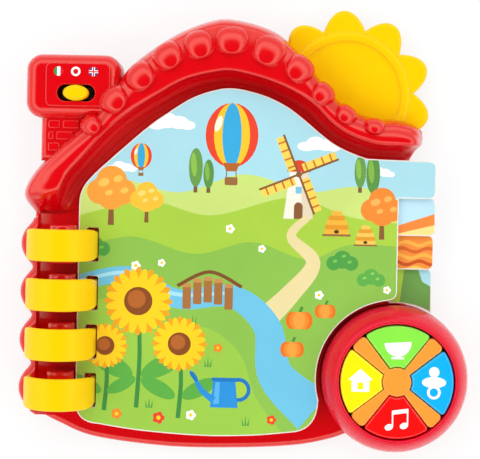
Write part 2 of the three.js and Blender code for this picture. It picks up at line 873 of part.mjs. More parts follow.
function switchKnob() {
  const oval = new THREE.Path();
  oval.absellipse(knobX, knobY, knobLength / 2, knobWidth / 2, 0, 2 * Math.PI, false, 0);
  const cap = slab(loopOf(oval, 12), switchTop + 2, knobTop, knobEdge, 0, 3);
  const peg = box(
    knobX - pegLength / 2,
    knobY - pegWidth / 2,
    switchTop + clearance,
    knobX + pegLength / 2,
    knobY + pegWidth / 2,
    switchTop + 3,
  );
  return cap.add(peg);
}

// The back: a flat cover with the battery opening, the sound holes and the screw seats
const bayHalfX = bayLength / 2;
const bayHalfY = bayWidth / 2;
const bayCentreY = unitY + bayY;

function doorLoop(grow) {
  const x1 = unitX + bayHalfX + grow;
  const tab = x1 + tabLength;
  const path = new THREE.Path();
  path.moveTo(unitX - bayHalfX - grow, bayCentreY - bayHalfY - grow);
  path.lineTo(x1, bayCentreY - bayHalfY - grow);
  path.lineTo(x1, bayCentreY - tabHalf - grow);
  path.lineTo(tab, bayCentreY - tabHalf - grow);
  path.lineTo(tab, bayCentreY + tabHalf + grow);
  path.lineTo(x1, bayCentreY + tabHalf + grow);
  path.lineTo(x1, bayCentreY + bayHalfY + grow);
  path.lineTo(unitX - bayHalfX - grow, bayCentreY + bayHalfY + grow);
  return loopOf(path, 1);
}

const doorScrewX = unitX + bayHalfX + tabLength / 2 - 0.4;

function soundHoles() {
  const holes = [];
  for (const [count, radius] of [[1, 0], [6, 5.5]]) {
    for (let i = 0; i < count; i++) {
      const angle = (2 * Math.PI * i) / count;
      const x = unitX + radius * Math.cos(angle);
      const y = unitY + speakerY + radius * Math.sin(angle);
      holes.push(post(x, y, 1.5, -1, backThickness + 1, 8));
    }
  }
  return holes;
}

function backCover() {
  const plate = join([
    slab(offsetLoop(trayLoop, -backInset), 0, backThickness),
    ...ringYs.map((y) => slab(offsetLoop(podLoop(y), -backInset), 0, backThickness)),
    slab(offsetLoop(unitLoop, -backInset), 0, backThickness),
    slab(offsetLoop(headLoop, -backInset), 0, backThickness),
    slab(offsetLoop(stackLoop, -backInset), 0, backThickness),
  ]);
  const bay = slab(
    offsetLoop(
      rectangle(unitX - bayHalfX, bayCentreY - bayHalfY, unitX + bayHalfX, bayCentreY + bayHalfY),
      bayWall,
    ),
    backThickness - 0.5,
    bayTop,
  );
  const boss = post(doorScrewX, bayCentreY, 3, backThickness - 0.5, backThickness + screwLength);
  const bayRoom = box(
    unitX - bayHalfX,
    bayCentreY - bayHalfY,
    -1,
    unitX + bayHalfX,
    bayCentreY + bayHalfY,
    bayTop + 1,
  );
  const doorSeat = slab(doorLoop(clearance), -1, doorThickness + clearance);
  const doorHole = post(doorScrewX, bayCentreY, screwRadius + clearance, 0, backThickness + screwLength - 1.5);
  return cut(join([plate, bay, boss]), [
    bayRoom,
    doorSeat,
    doorHole,
    ...soundHoles(),
    ...screwPlaces.map(([x, y]) => screwHole(x, y, backThickness + 1)),
  ]);
}

function batteryDoor() {
  const plate = slab(doorLoop(0), 0.2, doorThickness + clearance);
  return plate.subtract(screwHole(doorScrewX, bayCentreY, backThickness + 1));
}

function cell(i) {
  const radius = cellRadius;
  const nub = cellNub;
  const geometry = new THREE.LatheGeometry(
    [
      [0, 0],
      [radius - 0.5, 0],
      [radius, 0.5],
      [radius, cellLength - 1.6],
      [radius - 0.5, cellLength - 1.1],
      [nub, cellLength - 1.1],
      [nub, cellLength],
      [0, cellLength],
    ].map(([r, z]) => new THREE.Vector2(r, z)),
    16,
  );
  geometry.rotateZ(-Math.PI / 2);
  const x = unitX - bayHalfX + clearance + contactThickness + contactSpring + clearance;
  const y = bayCentreY + (i - (cellCount - 1) / 2) * (2 * cellRadius + clearance);
  geometry.translate(x, y, cellZ);
  return solidOf(geometry);
}

// The contact plates at the two ends of the cells, one with coils and one with studs
function contactPlate(side) {
  const wallX = unitX + side * (bayHalfX - clearance);
  const faceX = wallX - side * contactThickness;
  const reach = side < 0 ? contactSpring : contactNub;
  const xs = [wallX, faceX].sort((a, b) => a - b);
  const plate = box(
    xs[0],
    bayCentreY - bayHalfY + clearance,
    cellBottom,
    xs[1],
    bayCentreY + bayHalfY - clearance,
    bayTop - 1,
  );
  const studs = Array.from({ length: cellCount }, (unused, i) => {
    const stud = new THREE.CylinderGeometry(1.4, side < 0 ? 3.6 : 2, reach + 0.2, 16);
    stud.rotateZ(side * Math.PI / 2);
    const y = bayCentreY + (i - (cellCount - 1) / 2) * (2 * cellRadius + clearance);
    stud.translate(faceX - side * (reach / 2 - 0.1), y, cellZ);
    return solidOf(stud);
  });
  return join([plate, ...studs]);
}

function speaker() {
  const bottom = backThickness + clearance;
  return turned(
    [
      [0, bottom + 2.2],
      [4, bottom + 2.8],
      [speakerRadius - 2, bottom + 0.8],
      [speakerRadius - 1.4, bottom],
      [speakerRadius, bottom],
      [speakerRadius, bottom + 1.4],
      [speakerRadius - 4, bottom + speakerDepth - 3],
      [speakerRadius - 5, bottom + speakerDepth],
      [0, bottom + speakerDepth],
    ],
    unitX,
    unitY + speakerY,
    24,
  );
}

// A lead of the loom: a round section carried along a smooth curve
function lead(points) {
  const curve = new THREE.CatmullRomCurve3(points.map((p) => new THREE.Vector3(...p)));
  const section = new THREE.Shape(circleLoop(0, 0, wireRadius, 6));
  return solidOf(new THREE.ExtrudeGeometry(section, { steps: leadSteps, extrudePath: curve, bevelEnabled: false }));
}

const leadZ = backThickness + 3;
const switchLeadPoints = [
  [knobX, knobY, switchZ - clearance],
  [knobX, knobY, switchZ - 6],
  [knobX + 1, knobY - 5, leadZ + 1],
  [-97, 62, leadZ],
  [-84, 40, leadZ],
  [-76, 0, leadZ],
  [-60, -50, leadZ],
  [-10, unitY + 11.6, leadZ],
  [50, unitY - 4.4, leadZ],
  [60, unitY - 6.4, leadZ + 2],
  [64.5, unitY - 6.4, leadZ + 7],
  [65, unitY - 6.4, boardZ - 3],
  [65, unitY - 6.4, boardZ - 2 * clearance],
];
const speakerLeadPoints = [
  [unitX, unitY + speakerY, backThickness + speakerDepth + 2.5 * clearance],
  [unitX, unitY + speakerY, backThickness + speakerDepth + 2],
  [unitX - 3, unitY + speakerY - 4, boardZ - 2],
  [unitX - 3, unitY + speakerY - 4, boardZ - 2 * clearance],
];

// Finishes
const finish = (color, roughness = 0.35, metalness = 0) =>
  new THREE.MeshStandardMaterial({ color, roughness, metalness });
const redShell = finish(0xe0000f, 0.25);
const crimsonShell = finish(0xd6002c, 0.3);
const yellowShell = finish(0xffd200, 0.3);
const orangeShell = finish(0xfb9030, 0.35);
const print = finish(0xa8dbe6, 0.4);
const pagePrint = finish(0xa9cf45, 0.5);
const steel = finish(0xb8bcc0, 0.3, 1);
const buttonFinishes = {
  green: finish(0x8ff04a),
  blue: finish(0x10b4f4),
  red: finish(0xf01010),
  yellow: finish(0xfff010),
};

const group = new THREE.Group();
group.name = "talking_board_book";

function place(name, solid, material) {
  const mesh = new THREE.Mesh(geometryOf(solid), material);
  mesh.name = name;
  group.add(mesh);
}

place("front_housing", frontHousing(), redShell);
place("back_cover", backCover(), redShell);
place("battery_door", batteryDoor(), redShell);
place("sun", sunDisc(), yellowShell);
ringYs.forEach((y, i) => place("ring_" + (i + 1), ring(y), yellowShell));
place("cover_leaf", leafBoard(leafTabs[0], leafBottom), print);
place("page_block", pageBlock(), pagePrint);
place("unit_bezel", unitBezel(), crimsonShell);
place("dial_cross", slab(crossLoop(dialRadius - buttonGap), crossZ, crossZ + crossThickness, 1.2, 0, 2), orangeShell);
buttonOrder.forEach((colour, i) => {
  place("button_" + colour, wedgeButton(buttonAngles[i]), buttonFinishes[colour]);
});
place("switch_knob", switchKnob(), yellowShell);
place(
  "slide_switch",
  box(
    knobX - switchLength / 2,
    knobY - switchWidth / 2,
    switchZ,
    knobX + switchLength / 2,
    knobY + switchWidth / 2,
    switchTop,
  ),
  steel,
);
place("keypad_mat", keypadMat(), finish(0x9a9a98, 0.8));
place("circuit_board", post(unitX, unitY, circuitRadius, boardZ, ledgeZ, 48), finish(0x1f6a3a, 0.5));
place("speaker", speaker(), finish(0x222222, 0.6));
for (let i = 0; i < cellCount; i++) place("battery_cell_" + (i + 1), cell(i), finish(0x3a6ea5, 0.3, 0.4));
place("contact_springs", contactPlate(-1), steel);
place("contact_studs", contactPlate(1), steel);
place("switch_lead", lead(switchLeadPoints), finish(0x222222, 0.5));
place("speaker_lead", lead(speakerLeadPoints), finish(0x222222, 0.5));
screwPlaces.forEach(([x, y], i) => place("back_screw_" + (i + 1), screw(x, y, screwLength), steel));
place("door_screw", screw(doorScrewX, bayCentreY, screwLength - 1), steel);

// The origin is under the middle of the whole part
const bounds = new THREE.Box3().setFromObject(group);
const middle = bounds.getCenter(new THREE.Vector3());
group.position.set(-middle.x, -middle.y, -bounds.min.z);

export default group;
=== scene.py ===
# %% [markdown]
# # A talking board book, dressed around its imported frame
# The frame holds the solids at their real size. This lesson makes the surfaces that the eye sees:
# the glossy moulded housing, the arch rings, the printed leaves, the button unit and the sun. Every
# outline is a formula or a short list of real sizes in millimetres, the same ones that drive the
# solids, and one shift carries them into the frame.

# %% Load the frame and keep its box
import math

import bpy
import numpy as np
from mathutils.geometry import delaunay_2d_cdt
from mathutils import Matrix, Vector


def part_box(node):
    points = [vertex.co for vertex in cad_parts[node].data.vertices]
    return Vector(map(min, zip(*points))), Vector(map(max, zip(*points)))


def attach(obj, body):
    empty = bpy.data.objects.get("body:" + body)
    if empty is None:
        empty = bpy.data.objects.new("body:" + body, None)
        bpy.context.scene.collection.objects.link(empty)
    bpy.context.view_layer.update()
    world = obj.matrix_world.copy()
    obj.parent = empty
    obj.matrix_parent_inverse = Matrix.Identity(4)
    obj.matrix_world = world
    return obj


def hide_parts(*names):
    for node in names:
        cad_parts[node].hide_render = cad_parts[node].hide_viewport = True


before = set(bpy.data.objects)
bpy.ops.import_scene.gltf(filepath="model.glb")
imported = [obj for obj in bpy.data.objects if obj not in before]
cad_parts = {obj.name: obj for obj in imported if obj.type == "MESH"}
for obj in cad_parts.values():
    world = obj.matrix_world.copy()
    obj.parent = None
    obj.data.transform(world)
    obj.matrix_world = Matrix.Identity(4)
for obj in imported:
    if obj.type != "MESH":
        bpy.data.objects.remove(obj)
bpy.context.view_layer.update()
MM = 0.001
UNIT = np.array([96.3, -91.6])
low, high = (np.array(corner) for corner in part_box("circuit_board"))
SHIFT = (low[:2] + high[:2]) / 2 / MM - UNIT
print("shift of the drawing in mm", SHIFT.round(3))

# %% [markdown]
# ## Sizes
# A designer's sheet of the book: the rings stand on an axis left of the leaves, the leaves lie in a
# stack, and the unit, the chimney and the sun have their own centres.

# %% Sizes in millimetres
BACK = 2.4
TRAY_TOP = 11.0
TRAY_EDGE = 4.0
TRAY_RIGHT = 103.5
BOARD = 3.0
SLIT = 0.3
RING_PITCH = 30.1
RING_YS = -11.6 - RING_PITCH * np.arange(4)
RING_X = -111.5
RING_WIDTH = 19.5
RING_INNER = 18.4
RING_THICK = 3.2
RING_FOOT = 9.0
LEAF_LEFT = RING_X + 9.6
LEAF_RIGHT = 96.3
BLOCK_TOP = TRAY_TOP + 3 * (BOARD + SLIT) - SLIT
LEAF_BOTTOM = BLOCK_TOP + SLIT
LEAF_TOP = LEAF_BOTTOM + BOARD
HINGE_Z = LEAF_TOP + 4
DRUM_X = RING_X - 8
DRUM_R = 19.2
DRUM_TOP = 20.0
DRUM_EDGE = 6.0
TROUGH_X = -128.0
TROUGH_Z = 13.0
UNIT_R = 46.0
UNIT_TOP = 36.0
DIAL_R = 35.6
BUTTON_TOP = 35.2
BUTTON_GAP = 0.4
HUB_R = 9.0
WEDGE_HALF = 38.0
WEDGE_SIDE = 1.7
HEAD = (-136.0, 66.5, -77.5, 106.0)
HEAD_TOP = 30.0
PANEL = (-123.5, 73.3, -83.5, 100.5)
PANEL_TOP = HEAD_TOP + 1.2
STACK = (-126.6, 40.0, -90.0, 74.5)
STACK_FOOT = (13.6, 24.0)
STACK_TOP = 24.0
STACK_EDGE = 4.6
BRICK = (10.5, 5.4)
KNOB = np.array([-104.5, 81.8])
KNOB_HALF = np.array([15.7, 9.7]) / 2
KNOB_TRAVEL = 3.5
CLEARANCE = 0.3
SUN = np.array([63.4, 85.0])
SUN_BOTTOM = 5.0
SUN_TOP = 13.0
SUN_VALLEY = 42.2
SUN_TIP = 53.5
SUN_PHASE = 128.8
SUN_BEAD = 36.6
SUN_TONGUE = 3.5
print("cover face at", LEAF_TOP, "mm, ring axis at", HINGE_Z, "mm")

# %% [markdown]
# The roof ridge is set out by stations along it. Each row is one station: the outer edge, the
# crease and the inner edge, each as x and y, and then the height. Each tile is a place, a length, a
# width and a turn in degrees.

# %% Stations of the roof, and its tiles
ROOF = np.array([
    [-131, 8, -117, 9, -104.6, 10, 15],
    [-137.6, 18, -114.5, 20, -103.9, 19, 29],
    [-132.6, 31, -109, 32, -99.2, 28.6, 30.5],
    [-118, 47.7, -99, 43.5, -91.2, 37, 31],
    [-98, 66.5, -86, 58, -77, 49.8, 32],
    [-86, 83, -71, 71, -62.7, 62.4, 33],
    [-70, 102.3, -53.5, 82.5, -48.3, 73.1, 34],
    [-46, 119.8, -37.5, 91.6, -34, 82.3, 34],
    [-24, 129.4, -20.5, 96.3, -19.8, 87.5, 34],
    [-8, 131, -7.5, 97.3, -7, 88.9, 34],
    [17, 124, 13, 92.5, 11.2, 85.1, 34],
    [36, 108, 30, 85.5, 26, 78.7, 33.5],
    [47, 94, 42.5, 77.5, 36, 71.5, 33],
    [56.5, 83.5, 53, 67.3, 46, 63.3, 32],
    [67, 76, 64, 60, 56, 56.3, 31],
    [83, 70.8, 80, 54.5, 73.5, 48.3, 30],
    [95, 70.5, 94, 53.6, 92, 46.9, 29],
    [107, 67, 105, 53.6, 102.5, 46.9, 27],
    [112, 60.5, 110.5, 54.5, 104.5, 48.5, 15],
])
TILES = [
    (-94.9, 62.3, 13.9, 13.2, 49),
    (-81.1, 78, 19.7, 16.5, 50),
    (-65.1, 92.4, 20.9, 17.6, 45),
    (-48.4, 105.4, 20.9, 17.6, 34),
    (-29.3, 112.8, 20.9, 18.7, 18),
    (-9.2, 116.1, 23.2, 18.7, 0),
    (13.6, 110, 23.2, 19.8, -25),
    (32.7, 99.1, 19.7, 17.6, -45),
    (47.5, 84.4, 16.2, 14.3, -48),
    (62.2, 72.1, 15.1, 12.1, -35),
    (79.8, 65.6, 13.9, 10.5, -8),
]
print(len(ROOF), "stations and", len(TILES), "tiles")

# %% [markdown]
# ## Drawing tools
# An outline is an array of points, counter-clockwise. Arcs and smooth curves are joined end to end,
# and an offset moves each point along its own corner's bisector, as a cutter's path does.


# %% Outlines
def towards(angle):
    """The unit vector at each angle in degrees."""
    angle = np.radians(angle)
    return np.stack([np.cos(angle), np.sin(angle)], -1)


def turned(points, angle):
    """Points turned about the origin by degrees."""
    c, s = towards(angle)
    return points @ np.array([[c, s], [-s, c]])


def arc(x, y, radius, start, end, count=16):
    """Points at radius from (x, y), from the start angle to the end angle in degrees."""
    return radius * towards(np.linspace(start, end, count)) + (x, y)


def circle(x, y, radius, count=48):
    """Points once round (x, y), all at the radius from it."""
    return arc(x, y, radius, 0, 360, count + 1)[:-1]


def ellipse(x, y, across, up, turn=0, count=28):
    """An ellipse of the two half sizes, turned by degrees."""
    return turned(circle(0, 0, 1, count) * (across, up), turn) + (x, y)


def spline(points, count=6):
    """A uniform Catmull-Rom curve: on each span, the cubic whose end slopes are half the chord of
    the neighbouring points."""
    p = np.asarray(points, float)
    padded = np.vstack([p[:1], p, p[-1:]])
    t = (np.arange(count) / count)[None, :, None]
    a, b, c, d = (padded[i : i + len(p) - 1, None] for i in range(4))
    slope_b = (c - a) / 2
    slope_c = (d - b) / 2
    span = (2 * b - 2 * c + slope_b + slope_c) * t**3
    span = span + (3 * c - 3 * b - 2 * slope_b - slope_c) * t**2 + slope_b * t + b
    return np.vstack([span.reshape(-1, p.shape[1]), p[-1:]])


def bend(start, control, end, count=8):
    """A quadratic curve from start to end that leaves towards the control point."""
    t = np.linspace(0, 1, count)[:, None]
    start, control, end = (np.asarray(p, float) for p in (start, control, end))
    return (1 - t) ** 2 * start + 2 * (1 - t) * t * control + t**2 * end


def outline(*pieces):
    """The pieces joined end to end, without repeated points, turned counter-clockwise."""
    same_point = 0.03
    p = np.vstack([np.atleast_2d(np.asarray(piece, float)) for piece in pieces])
    p = p[np.hypot(*(p - np.roll(p, 1, 0)).T) > same_point]
    x, y = p.T
    area = np.sum(x * np.roll(y, -1) - y * np.roll(x, -1))
    return p if area > 0 else p[::-1]


def box(x0, y0, x1, y1):
    """The four corners of a box between two opposite ones."""
    return outline([[x0, y0], [x1, y0], [x1, y1], [x0, y1]])


def taper(y0, half0, y1, half1, x=0.0):
    """A trapezoid about x, with its half widths at two heights."""
    return outline([[x - half0, y0], [x + half0, y0], [x + half1, y1], [x - half1, y1]])


def rounded_box(x0, y0, x1, y1, radius, count=8):
    """A box whose corners are quarter circles of the radius."""
    return outline(
        arc(x1 - radius, y0 + radius, radius, -90, 0, count),
        arc(x1 - radius, y1 - radius, radius, 0, 90, count),
        arc(x0 + radius, y1 - radius, radius, 90, 180, count),
        arc(x0 + radius, y0 + radius, radius, 180, 270, count),
    )


def offset(loop, distance):
    """Each point moves outwards so that both of its edges move by the distance."""
    before = loop - np.roll(loop, 1, 0)
    after = np.roll(loop, -1, 0) - loop
    a = np.stack([before[:, 1], -before[:, 0]], 1) / np.hypot(*before.T)[:, None]
    b = np.stack([after[:, 1], -after[:, 0]], 1) / np.hypot(*after.T)[:, None]
    share = distance / np.maximum(1 + np.sum(a * b, 1), 0.4)
    return loop + (a + b) * share[:, None]


def inside(point, loop):
    """Whether a point lies in a loop: it is crossed an odd number of times by a ray."""
    x, y = point
    a, b = loop, np.roll(loop, -1, 0)
    crosses = (a[:, 1] > y) != (b[:, 1] > y)
    with np.errstate(divide="ignore", invalid="ignore"):
        at = (b[:, 0] - a[:, 0]) * (y - a[:, 1]) / (b[:, 1] - a[:, 1]) + a[:, 0]
    return bool(np.sum(crosses & (x < at)) % 2)


# %% [markdown]
# ## Meshes
# Two makers cover the rigid pieces. A skin is a grid of points with flat ends. A plate is an outline
# with holes, whose edges follow a list of levels, and whose faces are cut into triangles around the
# holes. Both come out closed, so they are solids.


# %% Put arrays into meshes
def place(points):
    """Drawing millimetres to metres in the frame."""
    p = np.asarray(points, float).copy()
    p[:, :2] += SHIFT
    return p * MM


def show(mesh):
    """The mesh as an object at the origin."""
    piece = bpy.data.objects.new(mesh.name, mesh)
    bpy.context.scene.collection.objects.link(piece)
    return piece


def make_object(name, points, faces, angle=35):
    """A mesh that is smooth but for edges sharper than the angle in degrees."""
    mesh = bpy.data.meshes.new(name)
    mesh.from_pydata(place(points).tolist(), [], faces)
    mesh.validate()
    mesh.shade_smooth()
    mesh.set_sharp_from_angle(angle=math.radians(angle))
    return show(mesh)


def grid_faces(rows, columns, wrap_rows=False, start=0):
    """Quads between neighbouring rows of points; each row closes on itself."""
    r = np.arange(rows if wrap_rows else rows - 1)[:, None]
    c = np.arange(columns)[None, :]
    r2 = (r + 1) % rows
    c2 = (c + 1) % columns
    quads = np.stack([r * columns + c, r * columns + c2, r2 * columns + c2, r2 * columns + c], -1)
    return (quads.reshape(-1, 4) + start).tolist()


def skins(name, grids, angle=35, wrap_rows=False, flip=False):
    """Closed skins over grids of points, in one mesh: rows close, and the ends are flat faces."""
    points, faces, start = [], [], 0
    for grid in grids:
        rows, columns = grid.shape[:2]
        faces += grid_faces(rows, columns, wrap_rows, start)
        if not wrap_rows:
            faces.append([start + i for i in range(columns)][::-1])
            faces.append([start + (rows - 1) * columns + i for i in range(columns)])
        points.append(grid.reshape(-1, 3))
        start += rows * columns
    if flip:
        faces = [face[::-1] for face in faces]
    return make_object(name, np.vstack(points), faces, angle)


def rounding(bottom, top, top_edge=0.0, bottom_edge=0.0, steps=6, margin=0.25):
    """Levels of a wall with quarter-round edges, each a height and an inset. A narrow flat margin
    at each rounded end keeps the flat face's shading level."""
    turn = np.linspace(0, math.pi / 2, steps + 1)
    levels = [(bottom, 0.0)]
    if bottom_edge:
        levels = [(bottom, bottom_edge + margin)]
        levels += [
            (bottom + bottom_edge * (1 - math.cos(t)), bottom_edge * (1 - math.sin(t)))
            for t in turn
        ]
    if not top_edge:
        return [*levels, (top, 0.0)]
    levels += [(top - top_edge * (1 - math.sin(t)), top_edge * (1 - math.cos(t))) for t in turn]
    return [*levels, (top, top_edge + margin)]


def slab_grid(loop, levels):
    """The loop at each level, inset and lifted."""
    return np.stack([
        np.column_stack([offset(loop, -inset), np.full(len(loop), z)]) for z, inset in levels
    ])


def cut_flat(loops, patches=()):
    """Triangles inside the first loop and outside the others, with the patches' edges in them.
    Gives the points, the triangles, each triangle's topmost patch and each point's sources."""
    shapes = [*loops, *patches]
    edges, start = [], 0
    for shape in shapes:
        edges.append(list(range(start, start + len(shape))))
        start += len(shape)
    corners = [tuple(p) for p in np.vstack(shapes).tolist()]
    made = delaunay_2d_cdt(corners, [], edges, 1, 1e-5)
    kept, topmost = [], []
    holes = set(range(1, len(loops)))
    for triangle, sources in zip(made[2], made[5]):
        if 0 in sources and not holes & set(sources):
            kept.append(triangle)
            topmost.append(max(max(sources) - len(loops), -1))
    return np.array([tuple(p) for p in made[0]]), kept, topmost, made[3]


def plate(name, loop, holes, levels, hole_levels=None, angle=35):
    """A board with holes: walls that follow the levels, and two faces cut around the holes."""
    grids = [slab_grid(loop, levels)]
    for hole in holes:
        grids.append(slab_grid(hole, [(z, -inset) for z, inset in hole_levels or levels]))
    faces, start = [], 0
    numbers = {0: [], -1: []}
    for grid in grids:
        rows, columns = grid.shape[:2]
        quads = grid_faces(rows, columns, start=start)
        faces += [quad[::-1] for quad in quads] if start else quads
        number = start + np.arange(rows * columns).reshape(rows, columns)
        for row, found in numbers.items():
            found += number[row].tolist()
        start += rows * columns
    for row, found in numbers.items():
        _, triangles, _, source = cut_flat([grid[row, :, :2] for grid in grids])
        for triangle in triangles:
            face = [found[source[v][0]] for v in triangle]
            faces.append(face if row else face[::-1])
    return make_object(name, np.vstack([grid.reshape(-1, 3) for grid in grids]), faces, angle)


def printed_film(name, loops, paper, art, bottom, top):
    """A thin film of flat inks: both faces share the same cuts, and its rim closes it. The art is
    a list of inks and outlines in painter's order."""
    flat, triangles, topmost, _ = cut_flat(loops, [shape for _, shape in art])
    count = len(flat)
    points = np.vstack([np.column_stack([flat, np.full(count, z)]) for z in (top, bottom)])
    faces = [list(t) for t in triangles] + [[v + count for v in t][::-1] for t in triangles]
    inks = [paper, *(ink for ink, _ in art)]
    colours = [inks[number + 1] for number in topmost] * 2
    edges = {}
    for triangle, ink in zip(triangles, colours):
        for a, b in zip(triangle, [*triangle[1:], triangle[0]]):
            edges[(a, b)] = ink
    for (a, b), ink in edges.items():
        if (b, a) not in edges:
            faces.append([a, a + count, b + count, b])
            colours.append(ink)
    used, index = np.unique(np.concatenate([np.array(f) for f in faces]), return_inverse=True)
    packed, at = [], 0
    for face in faces:
        packed.append(index[at : at + len(face)].tolist())
        at += len(face)
    mesh = bpy.data.meshes.new(name)
    mesh.from_pydata(place(points[used]).tolist(), [], packed)
    layer = mesh.color_attributes.new("ink", "FLOAT_COLOR", "CORNER")
    corners = np.repeat(np.array([linear(c) for c in colours]), [len(f) for f in packed], axis=0)
    layer.data.foreach_set("color", corners.astype(np.float32).ravel())
    return show(mesh)


# %% [markdown]
# ## Finishes
# Most of the book is injection-moulded ABS with a mirror-polished mould: one strong colour, a clear
# skin that shows the room sharply, and the faint waviness that thick walls sink into as they cool.
# Red and yellow pigments warm the gloss that lies under that skin, so their gloss is tinted. The
# leaves are grey board with laminated print: flat inks under a satin film.


# %% Colours and nodes
def linear(hexadecimal):
    """An sRGB hex colour as linear red, green, blue and alpha."""
    value = [int(hexadecimal[i : i + 2], 16) / 255 for i in (1, 3, 5)]
    return [v / 12.92 if v <= 0.04045 else ((v + 0.055) / 1.055) ** 2.4 for v in value] + [1.0]


def node(tree, kind, links=(), **settings):
    """Adds a node, sets its properties or input sockets, and links its inputs."""
    made = tree.nodes.new(kind)
    for key, value in settings.items():
        if hasattr(made, key):
            setattr(made, key, value)
        else:
            made.inputs[key.replace("_", " ")].default_value = value
    for source, output, target in links:
        tree.links.new(source.outputs[output], made.inputs[target])
    return made


def noise(tree, scale, detail, stretch=(1, 1, 1)):
    """Noise on the piece's own metres, so a scale of 1000 gives grains of about 1 mm."""
    where = node(tree, "ShaderNodeTexCoord")
    room = node(tree, "ShaderNodeMapping", [(where, "Object", "Vector")], Scale=stretch)
    return node(tree, "ShaderNodeTexNoise", [(room, 0, "Vector")], Scale=scale, Detail=detail)


def spread(tree, source, lowest, highest):
    """The noise's 0 to 1 brought to the two values."""
    links = [(source, "Fac", "Value")]
    return node(tree, "ShaderNodeMapRange", links, To_Min=lowest, To_Max=highest)


def two_tones(tree, source, first, second):
    """A colour that goes from the first to the second as the noise rises."""
    mix = node(tree, "ShaderNodeMix", [(source, "Fac", "Factor")], data_type="RGBA")
    mix.inputs["A"].default_value = first
    mix.inputs["B"].default_value = second
    return mix


def finish(name, build, **sockets):
    """A material whose base colour, roughness and bump come from the build function, a node and
    output for each, and whose other shader inputs are constants."""
    material = bpy.data.materials.new(name)
    material.use_nodes = True
    tree = material.node_tree
    shader = tree.nodes["Principled BSDF"]
    for socket, (source, output) in build(tree).items():
        tree.links.new(source.outputs[output], shader.inputs[socket])
    for socket, value in sockets.items():
        shader.inputs[socket.replace("_", " ")].default_value = value
    return material


def bump(tree, source, strength, distance=0.002):
    """The noise as a height of up to the distance in metres, with the normal that it gives."""
    links = [(source, "Fac", "Height")]
    return node(tree, "ShaderNodeBump", links, Strength=strength, Distance=distance), "Normal"


def moulded_plastic(name, colour, roughness=0.2, coat=1.0, tone=0.05, gloss=(1, 1, 1)):
    """Gloss ABS: a base colour that varies by a few per cent, micro-scratches in the roughness, and
    sink marks about 12 mm apart as a shallow bump."""

    def build(tree):
        sinks = noise(tree, 80.0, 1.0)
        scuffs = noise(tree, 900.0, 3.0)
        light = linear(colour)
        dark = [v * (1 - tone) for v in light[:3]] + [1.0]
        return {
            "Base Color": (two_tones(tree, sinks, dark, light), "Result"),
            "Roughness": (spread(tree, scuffs, roughness * 0.85, roughness * 1.25), "Result"),
            "Normal": bump(tree, sinks, 0.02),
        }

    tint = (*gloss, 1)
    return finish(name, build, IOR=1.53, Specular_Tint=tint, Coat_Weight=coat, Coat_Roughness=0.06)


def laminated_print(tree):
    """Flat inks under a satin laminate: the ink colour of each area, with a fine halftone grain of
    about 0.35 mm, drawn a little coarser than real so that it shows."""
    ink = node(tree, "ShaderNodeAttribute", attribute_name="ink")
    wash = noise(tree, 24.0, 3.0)
    tones = [(spread(tree, noise(tree, 2600.0, 1.0), 0.93, 1.07), "Result", 0)]
    tones.append((spread(tree, wash, 0.9, 1.1), "Result", 1))
    both = node(tree, "ShaderNodeMath", tones, operation="MULTIPLY")
    tint = node(tree, "ShaderNodeVectorMath", [(ink, "Color", 0)], operation="SCALE")
    tree.links.new(both.outputs[0], tint.inputs["Scale"])
    return {"Base Color": (tint, "Vector"), "Normal": bump(tree, wash, 0.03)}


def cut_board(tree):
    """The white cut edge of pressed board: matt, with fibre layers about 0.4 mm thick."""
    fibre = noise(tree, 1.0, 4.0, stretch=(120, 120, 2500))
    tones = two_tones(tree, fibre, linear("#DDD9D0"), linear("#FAF8F2"))
    return {"Base Color": (tones, "Result"), "Normal": bump(tree, fibre, 0.2, 0.0002)}


def plated_steel(tree):
    """Nickel-plated steel, with the fine drawing lines of sheet and wire."""
    return {"Roughness": (spread(tree, noise(tree, 700.0, 2.0), 0.22, 0.38), "Result")}


RED = dict(roughness=0.15, coat=0.8, gloss=(1, 0.6, 0.35))
CRIMSON = dict(roughness=0.15, coat=0.3, gloss=(1, 0.45, 0.4))
YELLOW = dict(roughness=0.34, coat=0.0, gloss=(1, 0.8, 0.2))
red_abs = moulded_plastic("red_gloss_abs", "#E3000F", **RED)
cover_abs = moulded_plastic("red_textured_abs", "#D0000E", roughness=0.4, coat=0.0)
crimson_abs = moulded_plastic("crimson_gloss_abs", "#E6002C", **CRIMSON)
yellow_abs = moulded_plastic("yellow_gloss_abs", "#FFD000", **YELLOW)
orange_abs = moulded_plastic("orange_gloss_abs", "#FBA23A", coat=0.5)
green_abs = moulded_plastic("lime_gloss_abs", "#8DF04A", coat=0.5)
blue_abs = moulded_plastic("sky_gloss_abs", "#10B8FA", coat=0.5)
signal_abs = moulded_plastic("signal_red_gloss_abs", "#FA0A0A", coat=0.5)
lemon_abs = moulded_plastic("lemon_gloss_abs", "#FFF30A", coat=0.5)
white_ink = moulded_plastic("white_pad_print", "#FFFFFF", roughness=0.35, coat=0.0, tone=0.03)
silicone = moulded_plastic("grey_silicone", "#9A9A98", roughness=0.7, coat=0.0)
# black plastic; on the slide switch it is also the painted shade seen down the knob's slot
black_pvc_and_slot_shade = moulded_plastic("black_soft_pvc_and_slot_shade", "#1C1C1E", roughness=0.5, coat=0.0)
board_lacquer = moulded_plastic("green_solder_lacquer", "#1E6B38", roughness=0.35)
cell_foil = moulded_plastic("blue_cell_sleeve", "#2F62A8", roughness=0.3)
film = finish("laminated_offset_print", laminated_print, Roughness=0.34, Coat_Weight=0.25,
              Coat_Roughness=0.2)
board = finish("white_lined_board", cut_board, Roughness=0.6)
steel = finish("nickel_plated_steel", plated_steel, Base_Color=linear("#B9BCBE"), Metallic=1.0)
print(len(bpy.data.materials), "materials in the file")


